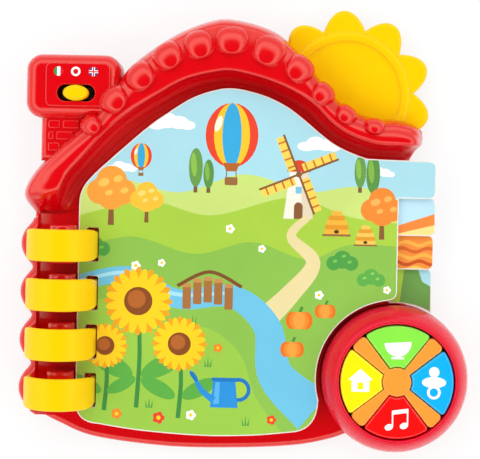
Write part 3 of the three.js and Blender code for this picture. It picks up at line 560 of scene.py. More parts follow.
def dress(piece, material, body="housing", nodes=()):
    """Finishes a piece: its material, the body that it rides on and the nodes that it stands for."""
    piece.data.materials.append(material)
    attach(piece, body)
    if nodes:
        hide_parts(*nodes)
    print(piece.name, len(piece.data.polygons), "faces, on", body)
    return piece


def housing_part(piece):
    """A piece of the one red moulding."""
    return dress(piece, red_abs, nodes=["front_housing"])


# %% [markdown]
# ## The tray
# The foot of the housing is a shallow moulded dish whose rim rolls over at the bottom edge. It is
# one outline with a quarter-round edge, offset inwards as it rises. A drum under the round unit
# joins it.

# %% Tray
lower_edge = [[-123.98, -119.63], [-113.5, -124.8], [-91, -133.3], [-45, -138.6], [0, -138.6],
              [36, -136.2], [58, -131.6], [70, -127]]
tray_loop = outline(
    arc(-118.5, RING_YS[3] - 6.5, 12.5, 180, 244, 20),
    spline(lower_edge, 8),
    UNIT,
    [TRAY_RIGHT, UNIT[1] + 20],
    spline(np.vstack([[TRAY_RIGHT, 44], ROOF[::-1, :2]]), 8),
)
housing_part(skins("tray_rim", [slab_grid(tray_loop, rounding(BACK, TRAY_TOP, TRAY_EDGE))]))
unit_loop = circle(*UNIT, UNIT_R, 128)
housing_part(skins("unit_foot", [slab_grid(unit_loop, rounding(BACK, TRAY_TOP))]))

# %% [markdown]
# ## The spine
# The left wall bulges round each ring and rolls over at its top. Across the spine the section is the
# same everywhere: outer wall, quarter round, drop into the trough. Only the bulge changes, so the
# spine is one skin of sections along Y, each the height of a rounded drum at that distance from its
# rim. A half-round bar stands in the trough under each ring.


# %% Spine wall and trough
def spine_grid():
    """Sections along Y. The outer edge is the widest drum there, and the height over the wall is
    the drum's quarter round at that distance from its rim. Halfway between two rings the distance
    is eased by a hyperbola, so the drums meet in a soft valley."""
    ys = np.linspace(RING_YS[3] - 17.5, RING_YS[0] + 18.5, 220)
    near = np.abs(ys[:, None] - RING_YS[None, :]).min(1)
    half_pitch = RING_PITCH / 2
    softness = 3
    eased = half_pitch - np.hypot(half_pitch - near, softness)
    near = np.where(near < half_pitch, eased * half_pitch / (half_pitch - softness), near)
    outer = DRUM_X - np.sqrt(np.maximum(DRUM_R**2 - near**2, 0))
    outer = np.minimum(outer, TROUGH_X - 0.6)
    share = (1 - np.cos(np.linspace(0, math.pi / 2, 16)))[None, :]
    x = outer[:, None] + (TROUGH_X - outer[:, None]) * share
    depth = DRUM_R - np.hypot(x - DRUM_X, near[:, None])
    fall = np.clip(DRUM_EDGE - np.clip(depth, 0, None), 0, DRUM_EDGE)
    z = DRUM_TOP - DRUM_EDGE + np.sqrt(DRUM_EDGE**2 - fall**2)
    wall = np.stack([x, np.repeat(ys[:, None], x.shape[1], 1), z], -1)
    floor = 0 * ys
    trough = [
        (TROUGH_X + 0.5, z[:, -1] - 0.8),
        (TROUGH_X + 0.9, floor + TROUGH_Z + 0.9),
        (TROUGH_X + 1.8, floor + TROUGH_Z),
        (LEAF_LEFT + 1, floor + TROUGH_Z),
        (LEAF_LEFT + 1, floor + BACK),
    ]
    rows = [np.stack([floor + fixed_x, ys, height], 1) for fixed_x, height in trough]
    start = np.stack([outer, ys, floor + BACK], 1)[:, None]
    return np.concatenate([start, wall, np.stack(rows, 1)], 1)


def hump_grid(y):
    """A half-round bar along Y whose ends are rounded off: a D outline offset inwards at its ends."""
    radius, rise, half, edge = 8.6, 23.0, 12.0, 1.8
    section = outline([[-radius, TRAY_TOP], [radius, TRAY_TOP]], arc(0, rise, radius, 0, 180, 28))
    grid = slab_grid(section, rounding(-half, half, edge, edge))
    return np.stack([RING_X + grid[..., 0], y - grid[..., 2], grid[..., 1]], -1)


housing_part(skins("spine_wall", [spine_grid()], angle=50))
housing_part(skins("spine_humps", [hump_grid(y) for y in RING_YS]))

# %% [markdown]
# ## The roof ridge
# A gutter-like band with a broad rounded shoulder, a crowned face and a scooped cove towards the
# leaves. It is a section carried along three curves at once: outer edge, crease and inner edge. The
# barrel tiles on it are steep towards the leaves and slope away evenly towards the outside, and this
# long slope is what catches the broad pale gloss.


# %% Roof ridge and tiles
def roof_grid():
    """For each station, the section runs up the shoulder as a quarter ellipse, over the crowned face
    as a low arch, over the crease and down the cove as a hollow quarter ellipse."""
    station = spline(ROOF, 9)
    outer, crease, inner, height = station[:, :2], station[:, 2:4], station[:, 4:6], station[:, 6]
    shoulder_width, shoulder_drop, crown, cove_foot = 7, 2, 1.6, 12
    face = np.hypot(*(outer - crease).T)
    flat = 0 * face
    shoulder = np.minimum(shoulder_width / face, 0.6)
    foot = np.minimum(8, height - 3)
    parts = [(outer, flat, flat + BACK)]
    for angle in np.linspace(0, math.pi / 2, 12):
        rise = (height - shoulder_drop - foot) * math.sin(angle)
        parts.append((outer, shoulder * (1 - math.cos(angle)), foot + rise))
    for t in np.linspace(0.12, 0.86, 8):
        lift = shoulder_drop * (t - 1) + crown * math.sin(math.pi * t)
        parts.append((outer, shoulder + (1 - shoulder) * t, height + lift))
    for back, drop in [(1.0, 0.05), (0.5, 0.3), (0.15, 0.7)]:
        parts.append((outer, 1 - back / face, height - drop))
    for angle in np.linspace(0.1, math.pi / 2, 12):
        fall = (height - cove_foot) * math.sin(angle)
        parts.append((inner, flat + math.cos(angle), height - fall))
    parts.append((inner, flat, flat + BACK))
    return np.stack([
        np.column_stack([side + (crease - side) * share[:, None], z]) for side, share, z in parts
    ], 1)


def tile_grid(x, y, length, width, turn):
    """A barrel tile: a superellipse outline that shrinks with a rounded profile, while its middle
    moves towards the leaves."""
    near = np.hypot(*(ROOF[:, :2] / 2 + ROOF[:, 2:4] / 2 - (x, y)).T).argmin()
    top, bottom = ROOF[near, 6] + 4.8, ROOF[near, 6] - 5.0
    squareness, profile, lean = 0.85, 0.8, 0.42
    ring = towards(np.linspace(0, 360, 49)[:-1])
    ring = np.sign(ring) * np.abs(ring) ** squareness * (length / 2, width / 2)
    rows = []
    for rise in np.linspace(0, math.pi / 2 - 0.04, 16):
        share = math.cos(rise) ** profile
        p = turned(ring * share - (0, lean * width * (1 - share)), turn) + (x, y)
        z = bottom + (top - bottom) * math.sin(rise)
        rows.append(np.column_stack([p, np.full(len(p), z)]))
    return np.stack(rows)


housing_part(skins("roof_ridge", [roof_grid()], angle=50, flip=True))
housing_part(skins("roof_tiles", [tile_grid(*tile) for tile in TILES], angle=60))

# %% [markdown]
# ## The chimney
# A soft block with big round edges and a flat panel that holds the slide switch, on a brick stack.
# The head is a plate with one hole, the knob's slot, so the switch below can be seen in it.

# %% Chimney
slot_half = KNOB_HALF + CLEARANCE + (KNOB_TRAVEL, 0)
knob_slot = rounded_box(*(KNOB - slot_half), *(KNOB + slot_half), slot_half[1] - 0.05, 10)


def slotted(name, loop, slot, bottom, top, edge):
    """A plate whose outer edge has the given radius, and whose slot has a small one."""
    levels = (rounding(bottom, top, radius, 0, 10) for radius in (edge, 0.6))
    return plate(name, loop, [slot], *levels, angle=40)


head_loop = rounded_box(*HEAD, 10, 12)
housing_part(slotted("chimney_head", head_loop, offset(knob_slot, 0.8), BACK, HEAD_TOP, 8))
housing_part(slotted("chimney_panel", rounded_box(*PANEL, 4), knob_slot, HEAD_TOP - 3, PANEL_TOP, 1))
stack_loop = outline([
    [STACK[0], STACK[1]],
    [STACK[0] + STACK_FOOT[0], STACK[1]],
    [STACK[2], STACK[1] + STACK_FOOT[1]],
    [STACK[2], STACK[3]],
    [STACK[0], STACK[3]],
])
housing_part(skins("chimney_stack", [slab_grid(stack_loop, rounding(BACK, STACK_TOP, STACK_EDGE))]))
brick_levels = rounding(STACK_TOP - 2, STACK_TOP + 1, 0.9)
brick_grids = []
for row in range(3):
    for column in range(3):
        x = STACK[0] + 1.5 + column * 12 - (row % 2) * 4
        y = HEAD[1] - 6.5 - row * 7
        if x + BRICK[0] > STACK[2] + 1 or not inside((x + 8, y), stack_loop):
            continue
        left = max(x, STACK[0] + STACK_EDGE)
        brick = rounded_box(left, y, x + BRICK[0], y + BRICK[1], 1.2, 5)
        brick_grids.append(slab_grid(brick, brick_levels))
housing_part(skins("chimney_bricks", brick_grids))
knob_loop = ellipse(*KNOB, *KNOB_HALF, 0, 64)
knob = skins("slide_knob", [slab_grid(knob_loop, rounding(26.2, 35, 2.6, 0, 10))])
dress(knob, yellow_abs, "knob", ["switch_knob"])

# %% [markdown]
# ## The arch rings
# Each ring is a strap bent into an arch on two straight legs. Its section is a flat bar with rounded
# edges, and the grid carries that section along the arch. On the real rings the strap is a little
# narrower where it enters the slots of the leaves, so the section's width shrinks towards the legs.


# %% Rings
def ring_grid(y):
    """The path is two straight legs and a half circle. Each point of the section lies across the
    path by its width and out of it by its thickness. Towards the legs the width falls by 15 %, with
    the square of how far the path leans beyond 0.55 of a right angle."""
    middle = RING_INNER + RING_THICK / 2
    turn = np.linspace(0, 180, 65)
    out = towards(turn)
    x = np.concatenate([[middle], middle * out[:, 0], [-middle]])[:, None]
    z = np.concatenate([[RING_FOOT], HINGE_Z + middle * out[:, 1], [TROUGH_Z]])[:, None]
    out = np.vstack([[1, 0], out, [-1, 0]])
    lean = np.concatenate([[1], np.abs(turn / 90 - 1), [1]])[:, None]
    width = 1 - 0.15 * np.clip((lean - 0.55) / 0.45, 0, 1) ** 2
    half, half_thick = RING_WIDTH / 2, RING_THICK / 2
    along, rise = rounded_box(-half, -half_thick, half, half_thick, 1.35, 8).T
    return np.stack([RING_X + x + out[:, :1] * rise, y + along * width, z + out[:, 1:] * rise], -1)


for number, y in enumerate(RING_YS, 1):
    arch = skins(f"arch_ring_{number}", [ring_grid(y)], flip=True)
    dress(arch, yellow_abs, nodes=[f"ring_{number}"])

# %% [markdown]
# ## The sun
# A flat moulded sunburst: petals from the absolute value of a cosine, a rolled edge, a raised bead
# round the face and a shallow dome inside it.


# %% Sun
def reach_to(loop, centre, direction):
    """How far a ray in each direction goes from the centre before it first crosses the loop."""
    ray = direction[:, None]
    start = (loop - centre)[None]
    edge = (np.roll(loop, -1, 0) - loop)[None]
    cross = ray[..., 0] * edge[..., 1] - ray[..., 1] * edge[..., 0]
    with np.errstate(divide="ignore", invalid="ignore"):
        far = (start[..., 0] * edge[..., 1] - start[..., 1] * edge[..., 0]) / cross
        along = (start[..., 0] * ray[..., 1] - start[..., 1] * ray[..., 0]) / cross
    hit = (far > 0) & (along >= 0) & (along <= 1)
    return np.where(hit, far, 1e3).min(1)


BEAD_SECTION = [(4.4, 0.1), (3.6, 0), (3.1, 0.5), (2.5, 1.4), (1.3, 1.9), (-1.3, 1.9), (-2.5, 1.4),
                (-3.1, 0.4), (-3.6, 0), (-6, 0.1)]
FACE_DOME = [(24, 0.3), (16, 0.5), (8, 0.6), (1, 0.6)]


def sun_grid():
    """Rings from the petal edge to the middle. The outline's radius is the valley plus the petal
    length times |cos(5a)|. Rings nearer the middle are circles, and all stop at the roof's wall."""
    angle = np.arange(360)
    direction = towards(angle)
    petal = np.abs(towards(5 * (angle - SUN_PHASE))[:, 0])
    edge = SUN_VALLEY + (SUN_TIP - SUN_VALLEY) * petal
    wall = reach_to(offset(tray_loop, -SUN_TONGUE), SUN, direction)
    rim = 3.0
    rows = [(edge - inset, z) for z, inset in rounding(SUN_BOTTOM, SUN_TOP, rim)]
    face = [(SUN_BEAD + out, lift) for out, lift in BEAD_SECTION] + FACE_DOME
    rows += [(np.minimum(edge - rim - 0.2, radius), SUN_TOP + lift) for radius, lift in face]
    return np.stack([
        np.column_stack([SUN + np.minimum(radius, wall)[:, None] * direction, 0 * angle + z])
        for radius, z in rows
    ])


dress(skins("sunburst", [sun_grid()], angle=60), yellow_abs, nodes=["sun"])

# %% [markdown]
# ## The leaves
# Each leaf is pressed board with a white cut edge and a printed film on it. The film stops a little
# short of the edge, so the cut edge shows as the thin white line of the real book. The leaves differ
# only in their step tabs, and the lowest tab follows the round unit's wall.

# %% Leaf outlines
CUT_R = UNIT_R + 3.2
CUT_LOW, CUT_HIGH = 196, 97
TAB_CORNER = 4
ROOF_TAB = 40
TABS = [(20.9, 44.4, 119.2), (-2.2, 21.6, 119.8), (-23.4, -1.6, 119.4), (-41, -22.8, 119.0)]
FOOT_EDGE = [[-88, -122.6], [-61, -126.3], [-24, -128.7], [8, -128], [32, -125.6]]
ARCH = [[LEAF_RIGHT, 44.6], [83, 45], [73, 46.2], [55, 54.2], [35, 69.9], [25, 76.9], [10.7, 83.3],
        [-7, 87.1], [-19.6, 85.6], [-33.7, 80.4], [-47.8, 71.3], [-61.8, 60.8], [-89.5, 35.7],
        [-97.6, 27]]
SLOTS = [rounded_box(RING_X + 14.5, y - 10.65, RING_X + 22.3, y + 10.65, 1.4, 6) for y in RING_YS]


def leaf_loop(tab_bottom, tab_top, reach):
    """The leaf's sides: binding edge, lower edge, the cut-out round the unit, the step tab and the
    arch under the roof."""
    cut_low, cut_high = (UNIT + CUT_R * towards(angle) for angle in (CUT_LOW, CUT_HIGH))
    unit_top = UNIT[1] + CUT_R
    tab_foot = [arc(*UNIT, UNIT_R + 0.8, 94, 61, 16)]
    if tab_bottom > unit_top + 5:
        tab_foot = [
            bend(cut_high, [LEAF_RIGHT, unit_top + 0.4], [LEAF_RIGHT, unit_top + 5], 6),
            [LEAF_RIGHT, tab_bottom],
            arc(reach - TAB_CORNER, tab_bottom + TAB_CORNER, TAB_CORNER, -90, 0, 8),
        ]
    over = np.vstack([[LEAF_RIGHT, tab_top], spline(ARCH, 8)])
    if tab_top > ROOF_TAB:
        over = spline([[reach - TAB_CORNER, tab_top], *ARCH[1:]], 8)
    return outline(
        bend([LEAF_LEFT, -108], [LEAF_LEFT, -122], FOOT_EDGE[0], 10),
        spline(FOOT_EDGE, 8),
        bend(FOOT_EDGE[-1], [cut_low[0] - 0.5, -124.5], cut_low, 10),
        arc(*UNIT, CUT_R, CUT_LOW, CUT_HIGH, 40),
        *tab_foot,
        arc(reach - TAB_CORNER, tab_top - TAB_CORNER, TAB_CORNER, 0, 90, 8),
        over,
        bend(ARCH[-1], [LEAF_LEFT, 21], [LEAF_LEFT, 14], 8),
    )


loops = [leaf_loop(*tab) for tab in TABS]
print("points in the leaf outlines", [len(loop) for loop in loops])

# %% [markdown]
# ## The printed picture
# The cover carries a countryside of flat inks: sky, clouds, hills, a stream with a footbridge, a
# windmill, sunflowers and beehives. Each motif is a list of inks and outlines in painter's order,
# drawn at 100 units and placed at its own size in millimetres. The film is cut once around all of
# them, so every edge is crisp from any distance.

# %% Motifs
WHITE, WOOD, BARK, STRAW = "#FFFFFF", "#8A5A35", "#9A6A3C", "#FFD21F"
SKY, FAR_GREEN, MID_GREEN, GRASS = "#BFE6EE", "#C9E07A", "#A9CF45", "#8DC04F"
NEAR_GREEN, LEAF_GREEN, POPPY, CLAY = "#9CCB4A", "#4FA046", "#E8452C", "#B5652A"


def placed(art, x, y, size):
    """A motif drawn at 100 units, at its size and place."""
    return [(ink, shape * size / 100 + (x, y)) for ink, shape in art]


def ribbon(points, widths, count=8):
    """A band along a smooth curve, with a width at each of its points."""
    curve = spline(points, count)
    width = np.interp(np.linspace(0, 1, len(curve)), np.linspace(0, 1, len(widths)), widths)
    slope = np.gradient(curve, axis=0)
    side = np.stack([-slope[:, 1], slope[:, 0]], 1) / np.hypot(*slope.T)[:, None]
    reach = side * width[:, None] / 2
    return outline(curve + reach, (curve - reach)[::-1])


def hill(ink, points, floor=-150):
    """Everything under a smooth skyline."""
    line = spline(points, 8)
    return [(ink, outline(line, [[line[-1, 0], floor], [line[0, 0], floor]]))]


def cloud(x, y, size):
    puffs = [(-110, 0, 80, 42), (-30, 30, 80, 60), (60, 15, 80, 50), (130, -5, 60, 35)]
    return placed([(WHITE, ellipse(*puff)) for puff in puffs], x, y, size)


def sunflower(x, y, size, stem):
    """Two rings of petals round a dark disc, on a stem with two leaves."""
    stalk = [("#3E8E41", ribbon([[x, y], [x + 1.5, y - stem / 2], [x, y - stem]], [2.4, 2.8]))]
    for side in (-1, 1):
        leaf_x = x + side * size * 0.75
        leaf = ellipse(leaf_x, y - stem * 0.6, size * 0.7, size * 0.28, side * 28)
        stalk.append(("#5DAE46", leaf))
    head = []
    for ink, first, reach in [("#F4A61D", 0, 66), (STRAW, 11.25, 61.38)]:
        for angle in np.arange(0, 360, 22.5) + first:
            head.append((ink, ellipse(*(reach * towards(angle)), 36, 13, angle, 14)))
    head += [("#8A4B1E", circle(0, 0, 42, 26)), (CLAY, circle(-5, 6, 27, 22))]
    return stalk + placed(head, x, y, size)


def round_tree(x, y, size, crown="#F2A03C", light="#F8C45A"):
    art = [(WOOD, taper(-120, 12, 0, 8))]
    for puff in [(-45, 10, 50), (45, 10, 50), (0, 50, 60), (0, 0, 60)]:
        art.append((crown, circle(*puff, 26)))
    for across, up, r in [(-30, 45, 22), (25, 60, 18), (-10, 5, 15), (50, 15, 16)]:
        art.append((light, ellipse(across, up, r, r * 0.7, 20, 20)))
    return placed(art, x, y, size)


def poplar(x, y, size, crown="#6A9E4C", light=GRASS):
    crowns = [(crown, ellipse(0, 30, 36, 100, 0, 30)), (light, ellipse(-10, 45, 15, 62, 4, 24))]
    return [("#7A5A3A", taper(y - size, 1.2, y, 1, x)), *placed(crowns, x, y, size)]


def windmill(x, y, size):
    """A tapered tower with a cap, a door, a window and four lattice sails."""
    art = [
        ("#F7F0E0", taper(-100, 34, 10, 20)),
        ("#E5D6BA", outline([[8, -100], [34, -100], [20, 10], [6, 10]])),
        ("#D9472B", arc(0, 8, 27, 0, 180, 20)),
        (WOOD, outline([[-10, -100], [10, -100]], arc(0, -72, 10, 0, 180, 12))),
        ("#7CC4E0", rounded_box(-7, -42, 7, -26, 60 / 27, 4)),
    ]
    for angle in (22, 112, 202, 292):
        sail = [("#FBD55A", box(14, 0, 95, 20))]
        sail += [("#C9772F", box(20 + 20 * k, 2, 24 + 20 * k, 19)) for k in range(4)]
        sail += [(WOOD, box(0, -2.5, 98, 2.5))]
        art += [(ink, turned(shape, angle) + (0, 2)) for ink, shape in sail]
    art.append((WOOD, circle(0, 2, 7, 16)))
    return placed(art, x, y, size)


def beehive(x, y, size, light="#F4B63E", dark="#E39A2B"):
    art = [(BARK, box(-80, -12, 80, 0))]
    for k, half in enumerate([70, 68, 60, 47, 30]):
        ring = rounded_box(-half, 26 * k, half, 26 * k + 27, 12, 6)
        art.append((dark if k % 2 else light, ring))
    art.append(("#5A3A1E", ellipse(0, 14, 14, 11)))
    return placed(art, x, y, size)


def pumpkin(x, y, size):
    art = [("#4F8F3A", ribbon([[0, 50], [20, 95]], [22]))]
    for across, ink in [(50, "#E8731C"), (25, "#F28A2C")]:
        art += [(ink, ellipse(side * across, 0, 42, 60)) for side in (-1, 1)]
    art.append(("#F9A040", ellipse(0, 0, 42, 60)))
    return placed(art, x, y, size)


def balloon(x, y, size):
    """A hot-air balloon: gores in three colours, and a basket on two ropes."""
    gores = [(82, POPPY), (56, "#FBC62E"), (30, "#38A9DC")]
    art = [(ink, ellipse(0, 0, half, 100)) for half, ink in gores]
    art += [("#FFF4DC", ellipse(-42, 35, 10, 26, -18)), (CLAY, taper(-86, 26, -112, 16))]
    for side in (-1, 1):
        rope = np.array([[13, -110], [16, -110], [17, -132], [14, -132]]) * (side, 1)
        art.append((WOOD, outline(rope)))
    art.append((BARK, rounded_box(-20, -155, 20, -130, 5, 4)))
    return placed(art, x, y, size)


def bush(x, y, size, leaf=LEAF_GREEN, light="#7CC552"):
    art = [(leaf, circle(*puff, 22)) for puff in [(-60, 0, 50), (60, 0, 50), (0, 25, 62)]]
    art += [(light, ellipse(*spot, 16, 10, 20, 14)) for spot in [(-50, 15), (10, 50), (50, 10)]]
    return placed(art, x, y, size)


def tuft(x, y, size):
    blades = []
    for foot, tall in [(-20, 70), (0, 100), (20, 75)]:
        blades.append((LEAF_GREEN, outline([[foot - 9, 0], [foot + 9, 0], [foot * 1.7, tall]])))
    return placed(blades, x, y, size)


def flower(x, y, size, petal=WHITE):
    art = [(petal, circle(*(55 * towards(angle)), 42, 12)) for angle in range(0, 360, 72)]
    return placed([*art, (STRAW, circle(0, 0, 34, 12))], x, y, size)


def watering_can(x, y, size):
    """A blue can with a spout, a rose and a hooped handle."""
    dark, blue = "#1F78BF", "#2C92DA"
    return placed([
        (dark, circle(62, 15, 50, 26)),
        (MID_GREEN, circle(62, 15, 34, 26)),
        (blue, outline([[-55, -60], [60, -60], [48, 55], [-42, 55]])),
        ("#5BB4EE", outline([[-42, -45], [-18, -45], [-16, 45], [-34, 45]])),
        (blue, ribbon([[-40, -30], [-90, 10], [-120, 62]], [30, 14])),
        (dark, ellipse(-124, 68, 10, 26, 38)),
        (dark, rounded_box(-50, 48, 56, 64, 80 / 15, 4)),
    ], x, y, size)


def footbridge():
    """Five planks that rise in an arch over the stream, and a handrail."""
    art = []
    for k in range(5):
        x = -34 + k * 6.5
        rise = 6 * math.sin(math.pi * (k + 0.5) / 5)
        art.append(("#A9703C", rounded_box(x - 2.6, -52 + rise, x + 2.6, -36 + rise, 0.6, 3)))
        art.append(("#C98F52", rounded_box(x - 2.6, -38.6 + rise, x + 2.6, -36 + rise, 0.6, 3)))
    return [*art, ("#7E4F28", ribbon([[-40, -36], [-20, -27], [0, -36]], [2.2, 2.2]))]


def scatter(motif, places):
    """The motif at each place, with that place's size and inks."""
    return [shape for where in places for shape in motif(*where)]


# %% [markdown]
# The two pictures are composed like a stage set, from the sky to the foreground. The path and the
# stream widen towards the viewer, which gives the flat inks their depth.


# %% Pictures
def countryside():
    """The picture on the cover, back to front."""
    dark_poplar = ("#5C9444", "#83B84C")
    path = [[40, 8], [30, -4], [44, -20], [30, -40], [10, -60]]
    stream = [[-105, -36], [-70, -30], [-40, -44], [-6, -42], [16, -60], [22, -90], [46, -112]]
    glint = [[-100, -34], [-70, -28.5], [-42, -41], [-10, -40]]
    art = scatter(cloud, [(-46, 64, 8), (46, 52, 7), (-76, 36, 5), (84, 36, 5)])
    art += hill(FAR_GREEN, [[-110, 20], [-80, 30], [-40, 22], [0, 34], [40, 24], [76, 27], [125, 6]])
    art += scatter(poplar, [(-30, 34, 12), (-22, 31, 9, *dark_poplar)])
    art += scatter(poplar, [(72, 34, 10), (80, 32, 12, *dark_poplar)])
    art += hill(MID_GREEN, [[-110, 4], [-60, 16], [-20, 8], [30, 20], [70, 8], [125, 4]])
    art += scatter(round_tree, [(-82, 20, 16), (-60, 16, 11, "#F6C23A", "#FBDB74")])
    art += round_tree(86, 12, 14, "#EE8A34", "#F7B25A")
    art += windmill(34, 34, 27)
    art += hill(GRASS, [[-110, -18], [-70, -6], [-30, -16], [6, -8], [40, -18], [70, -8], [125, -12]])
    art += [("#E9D9A0", ribbon(path, [4, 6, 9, 12, 16]))]
    art += [("#6FC3E3", ribbon(stream, [9, 11, 12, 14, 17, 22, 30]))]
    art += [("#A8E0F2", ribbon(glint, [2, 2.6, 2]))]
    art += hill(NEAR_GREEN, [[-110, -50], [-70, -44], [-46, -60], [-20, -62], [0, -78], [10, -104],
                             [30, -128], [60, -140]])
    art += scatter(bush, [(-92, -14, 9), (62, -20, 9), (80, -30, 8, "#5FAF4A", "#8FCF5C")])
    art += footbridge()
    art += scatter(beehive, [(58, -2, 11), (76, -8, 9, "#F9C65A")])
    art += scatter(flower, [(-66, -24, 3.2), (-50, -22, 2.6), (-8, 0, 3), (12, -12, 2.6)])
    art += scatter(flower, [(48, -40, 3), (90, -36, 2.6)])
    tufts = [(-76, -70), (-20, -86), (-56, -112), (4, -122), (-92, -98), (-30, -60)]
    art += scatter(tuft, [(x, y, 7) for x, y in tufts])
    art += scatter(balloon, [(-8, 58, 20), (-64, 44, 8)])
    art += scatter(pumpkin, [(36, -56, 9), (52, -50, 7), (32, -74, 8)])
    art += scatter(sunflower, [(-64, -46, 21, 66), (-38, -72, 17, 46), (-84, -74, 14, 40)])
    art += watering_can(-10, -102, 15)
    art += scatter(flower, [(-50, -118, 4, POPPY), (-30, -116, 3.4), (-76, -116, 3.6, "#F28A2C")])
    art += scatter(flower, [(20, -118, 3.2, POPPY), (-14, -74, 3, "#F28A2C")])
    return art


def meadow(ink):
    """A plainer picture for the inside faces: two hills, clouds, bushes and flowers."""
    art = scatter(cloud, [(-30, 50, 8), (30, 30, 6)])
    art += hill(FAR_GREEN, [[-120, 0], [-60, 14], [0, -4], [60, 16], [130, 0]])
    art += round_tree(-60, 12, 16) + scatter(poplar, [(50, 20, 14), (60, 17, 10)])
    art += hill(ink, [[-120, -40], [-60, -24], [0, -44], [60, -20], [130, -30]])
    for x in range(-80, 60, 20):
        art += flower(x, -70 - 12 * math.sin(x / 14), 4.5)
        art += tuft(x + 9, -92 + 10 * math.sin(x / 11), 8)
    return art + scatter(bush, [(-70, -34, 11), (20, -44, 9)])


def ploughed_rows():
    """Wavy bands across a tab."""
    x = np.linspace(90, 125, 30)
    art = []
    for k, ink in enumerate(["#F9B24A", "#D9662B", "#F9B24A", "#C9531F", "#F9C45A"]):
        y = -6 - 4 * k + 1.2 * np.sin(x / 2.6 + k)
        art.append((ink, outline(np.stack([x, y], 1), np.stack([x, y - 2.2], 1)[::-1])))
    return art


def slants(quads):
    return [(ink, outline(corners)) for ink, corners in quads]


UPPER_SLANTS = [
    ("#BDE3F2", [[96, 21], [120, 21], [120, 12], [96, 4]]),
    ("#F58A3C", [[96, 4], [120, 12], [120, 5], [96, -1]]),
    ("#F8E08A", [[96, -1], [120, 5], [120, -4], [96, -4]]),
]
LOWER_SLANTS = [
    (MID_GREEN, [[86, -20], [102, -20], [98, -54], [86, -54]]),
    ("#A8DBE6", [[110, -22], [122, -22], [122, -36], [113, -31]]),
]
cover_art = countryside()
print("shapes in the cover's picture", len(cover_art))

# %% [markdown]
# ## The leaves, pressed and printed
# A board first, then its print. The cover has its picture outside and a plainer one inside, which
# shows when it is turned right over. Of the three leaves below, only the step tabs show at the
# right, each with its own motif, and the top one is seen when the cover is open. A strip of board
# joins them at the binding.

# %% Boards and films
FILM = 0.06
EDGE_LINE = 0.75
SLOT_LINE = 0.15
BOARD_EDGE = 0.45


def press(name, loop, bottom, node_name, body):
    """A board over the loop, with the rings' slots and small rounded edges."""
    levels = rounding(bottom, bottom + BOARD, BOARD_EDGE, BOARD_EDGE, 3)
    dress(plate(name, loop, SLOTS, levels), board, body, [node_name])


def print_on(name, loop, paper, art, face, back, body):
    """A film on a board's face, with its back a film's thickness away."""
    loops = [offset(loop, -EDGE_LINE), *(offset(slot, SLOT_LINE) for slot in SLOTS)]
    piece = printed_film(name, loops, paper, art, min(face, back), max(face, back))
    dress(piece, film, body, [])


press("cover_board", loops[0], LEAF_BOTTOM, "cover_leaf", "cover")
print_on("cover_picture", loops[0], "#A8DBE6", cover_art, LEAF_TOP, LEAF_TOP + FILM, "cover")
print_on("inside_cover_picture", loops[0], SKY, meadow(NEAR_GREEN), LEAF_BOTTOM,
         LEAF_BOTTOM - FILM, "cover")
INNER_PRINTS = {
    3: ("#6A9E4C", slants(LOWER_SLANTS)),
    2: ("#F2903C", ploughed_rows()),
    1: (SKY, meadow(GRASS) + slants(UPPER_SLANTS)),
}
for order, (number, (paper, art)) in enumerate(INNER_PRINTS.items()):
    bottom = TRAY_TOP + order * (BOARD + SLIT)
    top = bottom + BOARD
    press(f"inner_board_{number}", loops[number], bottom, "page_block", "housing")
    print_on(f"inner_picture_{number}", loops[number], paper, art, top, top + FILM, "housing")
strip_loop = rounded_box(LEAF_LEFT + 0.2, -100, LEAF_LEFT + 4.7, 10, 0.5, 3)
strip = skins("binding_strip", [slab_grid(strip_loop, rounding(TRAY_TOP, BLOCK_TOP))])
dress(strip, board, nodes=["page_block"])

# %% [markdown]
# ## The round unit
# A turned shell rolls in to a sunk dial. On the dial an orange cross holds four wedge buttons apart.


# %% Unit shell, cross and buttons
def turned_grid(profile, centre, count=128):
    """Each point of the profile, a radius and a height, goes once round the centre."""
    radius, z = np.asarray(profile, float).T
    plane = centre + radius[:, None, None] * circle(0, 0, 1, count)
    return np.concatenate([plane, np.repeat(z[:, None, None], count, 1)], -1)


dome = spline([
    [UNIT_R - 0.2, TRAY_TOP + 5],
    [UNIT_R - 0.6, UNIT_TOP - 15],
    [UNIT_R - 2.2, UNIT_TOP - 9],
    [UNIT_R - 4.8, UNIT_TOP - 4.2],
    [UNIT_R - 7.4, UNIT_TOP - 1],
    [DIAL_R + 1.4, UNIT_TOP],
    [DIAL_R + 0.3, UNIT_TOP - 0.5],
    [DIAL_R, UNIT_TOP - 1.8],
])
seat = [[DIAL_R, 27], [38.5, 27], [38.5, 18.6], [40.5, 18.6]]
shell_profile = np.vstack([[[40.5, TRAY_TOP], [UNIT_R - 0.4, TRAY_TOP]], dome, seat])
bezel = skins("unit_shell", [turned_grid(shell_profile, UNIT)], wrap_rows=True)
dress(bezel, crimson_abs, nodes=["unit_bezel"])


def rounded_end(middle, reach, corner, spread, square, corner_count, end_count):
    """The outer end of a sector: an arc of the reach between two corner arcs."""
    first, last = (UNIT + (reach - corner) * towards(middle + a) for a in (-spread, spread))
    return [
        arc(*first, corner, middle - square, middle - spread, corner_count),
        arc(*UNIT, reach, middle - spread, middle + spread, end_count),
        arc(*last, corner, middle + spread, middle + square, corner_count),
    ]


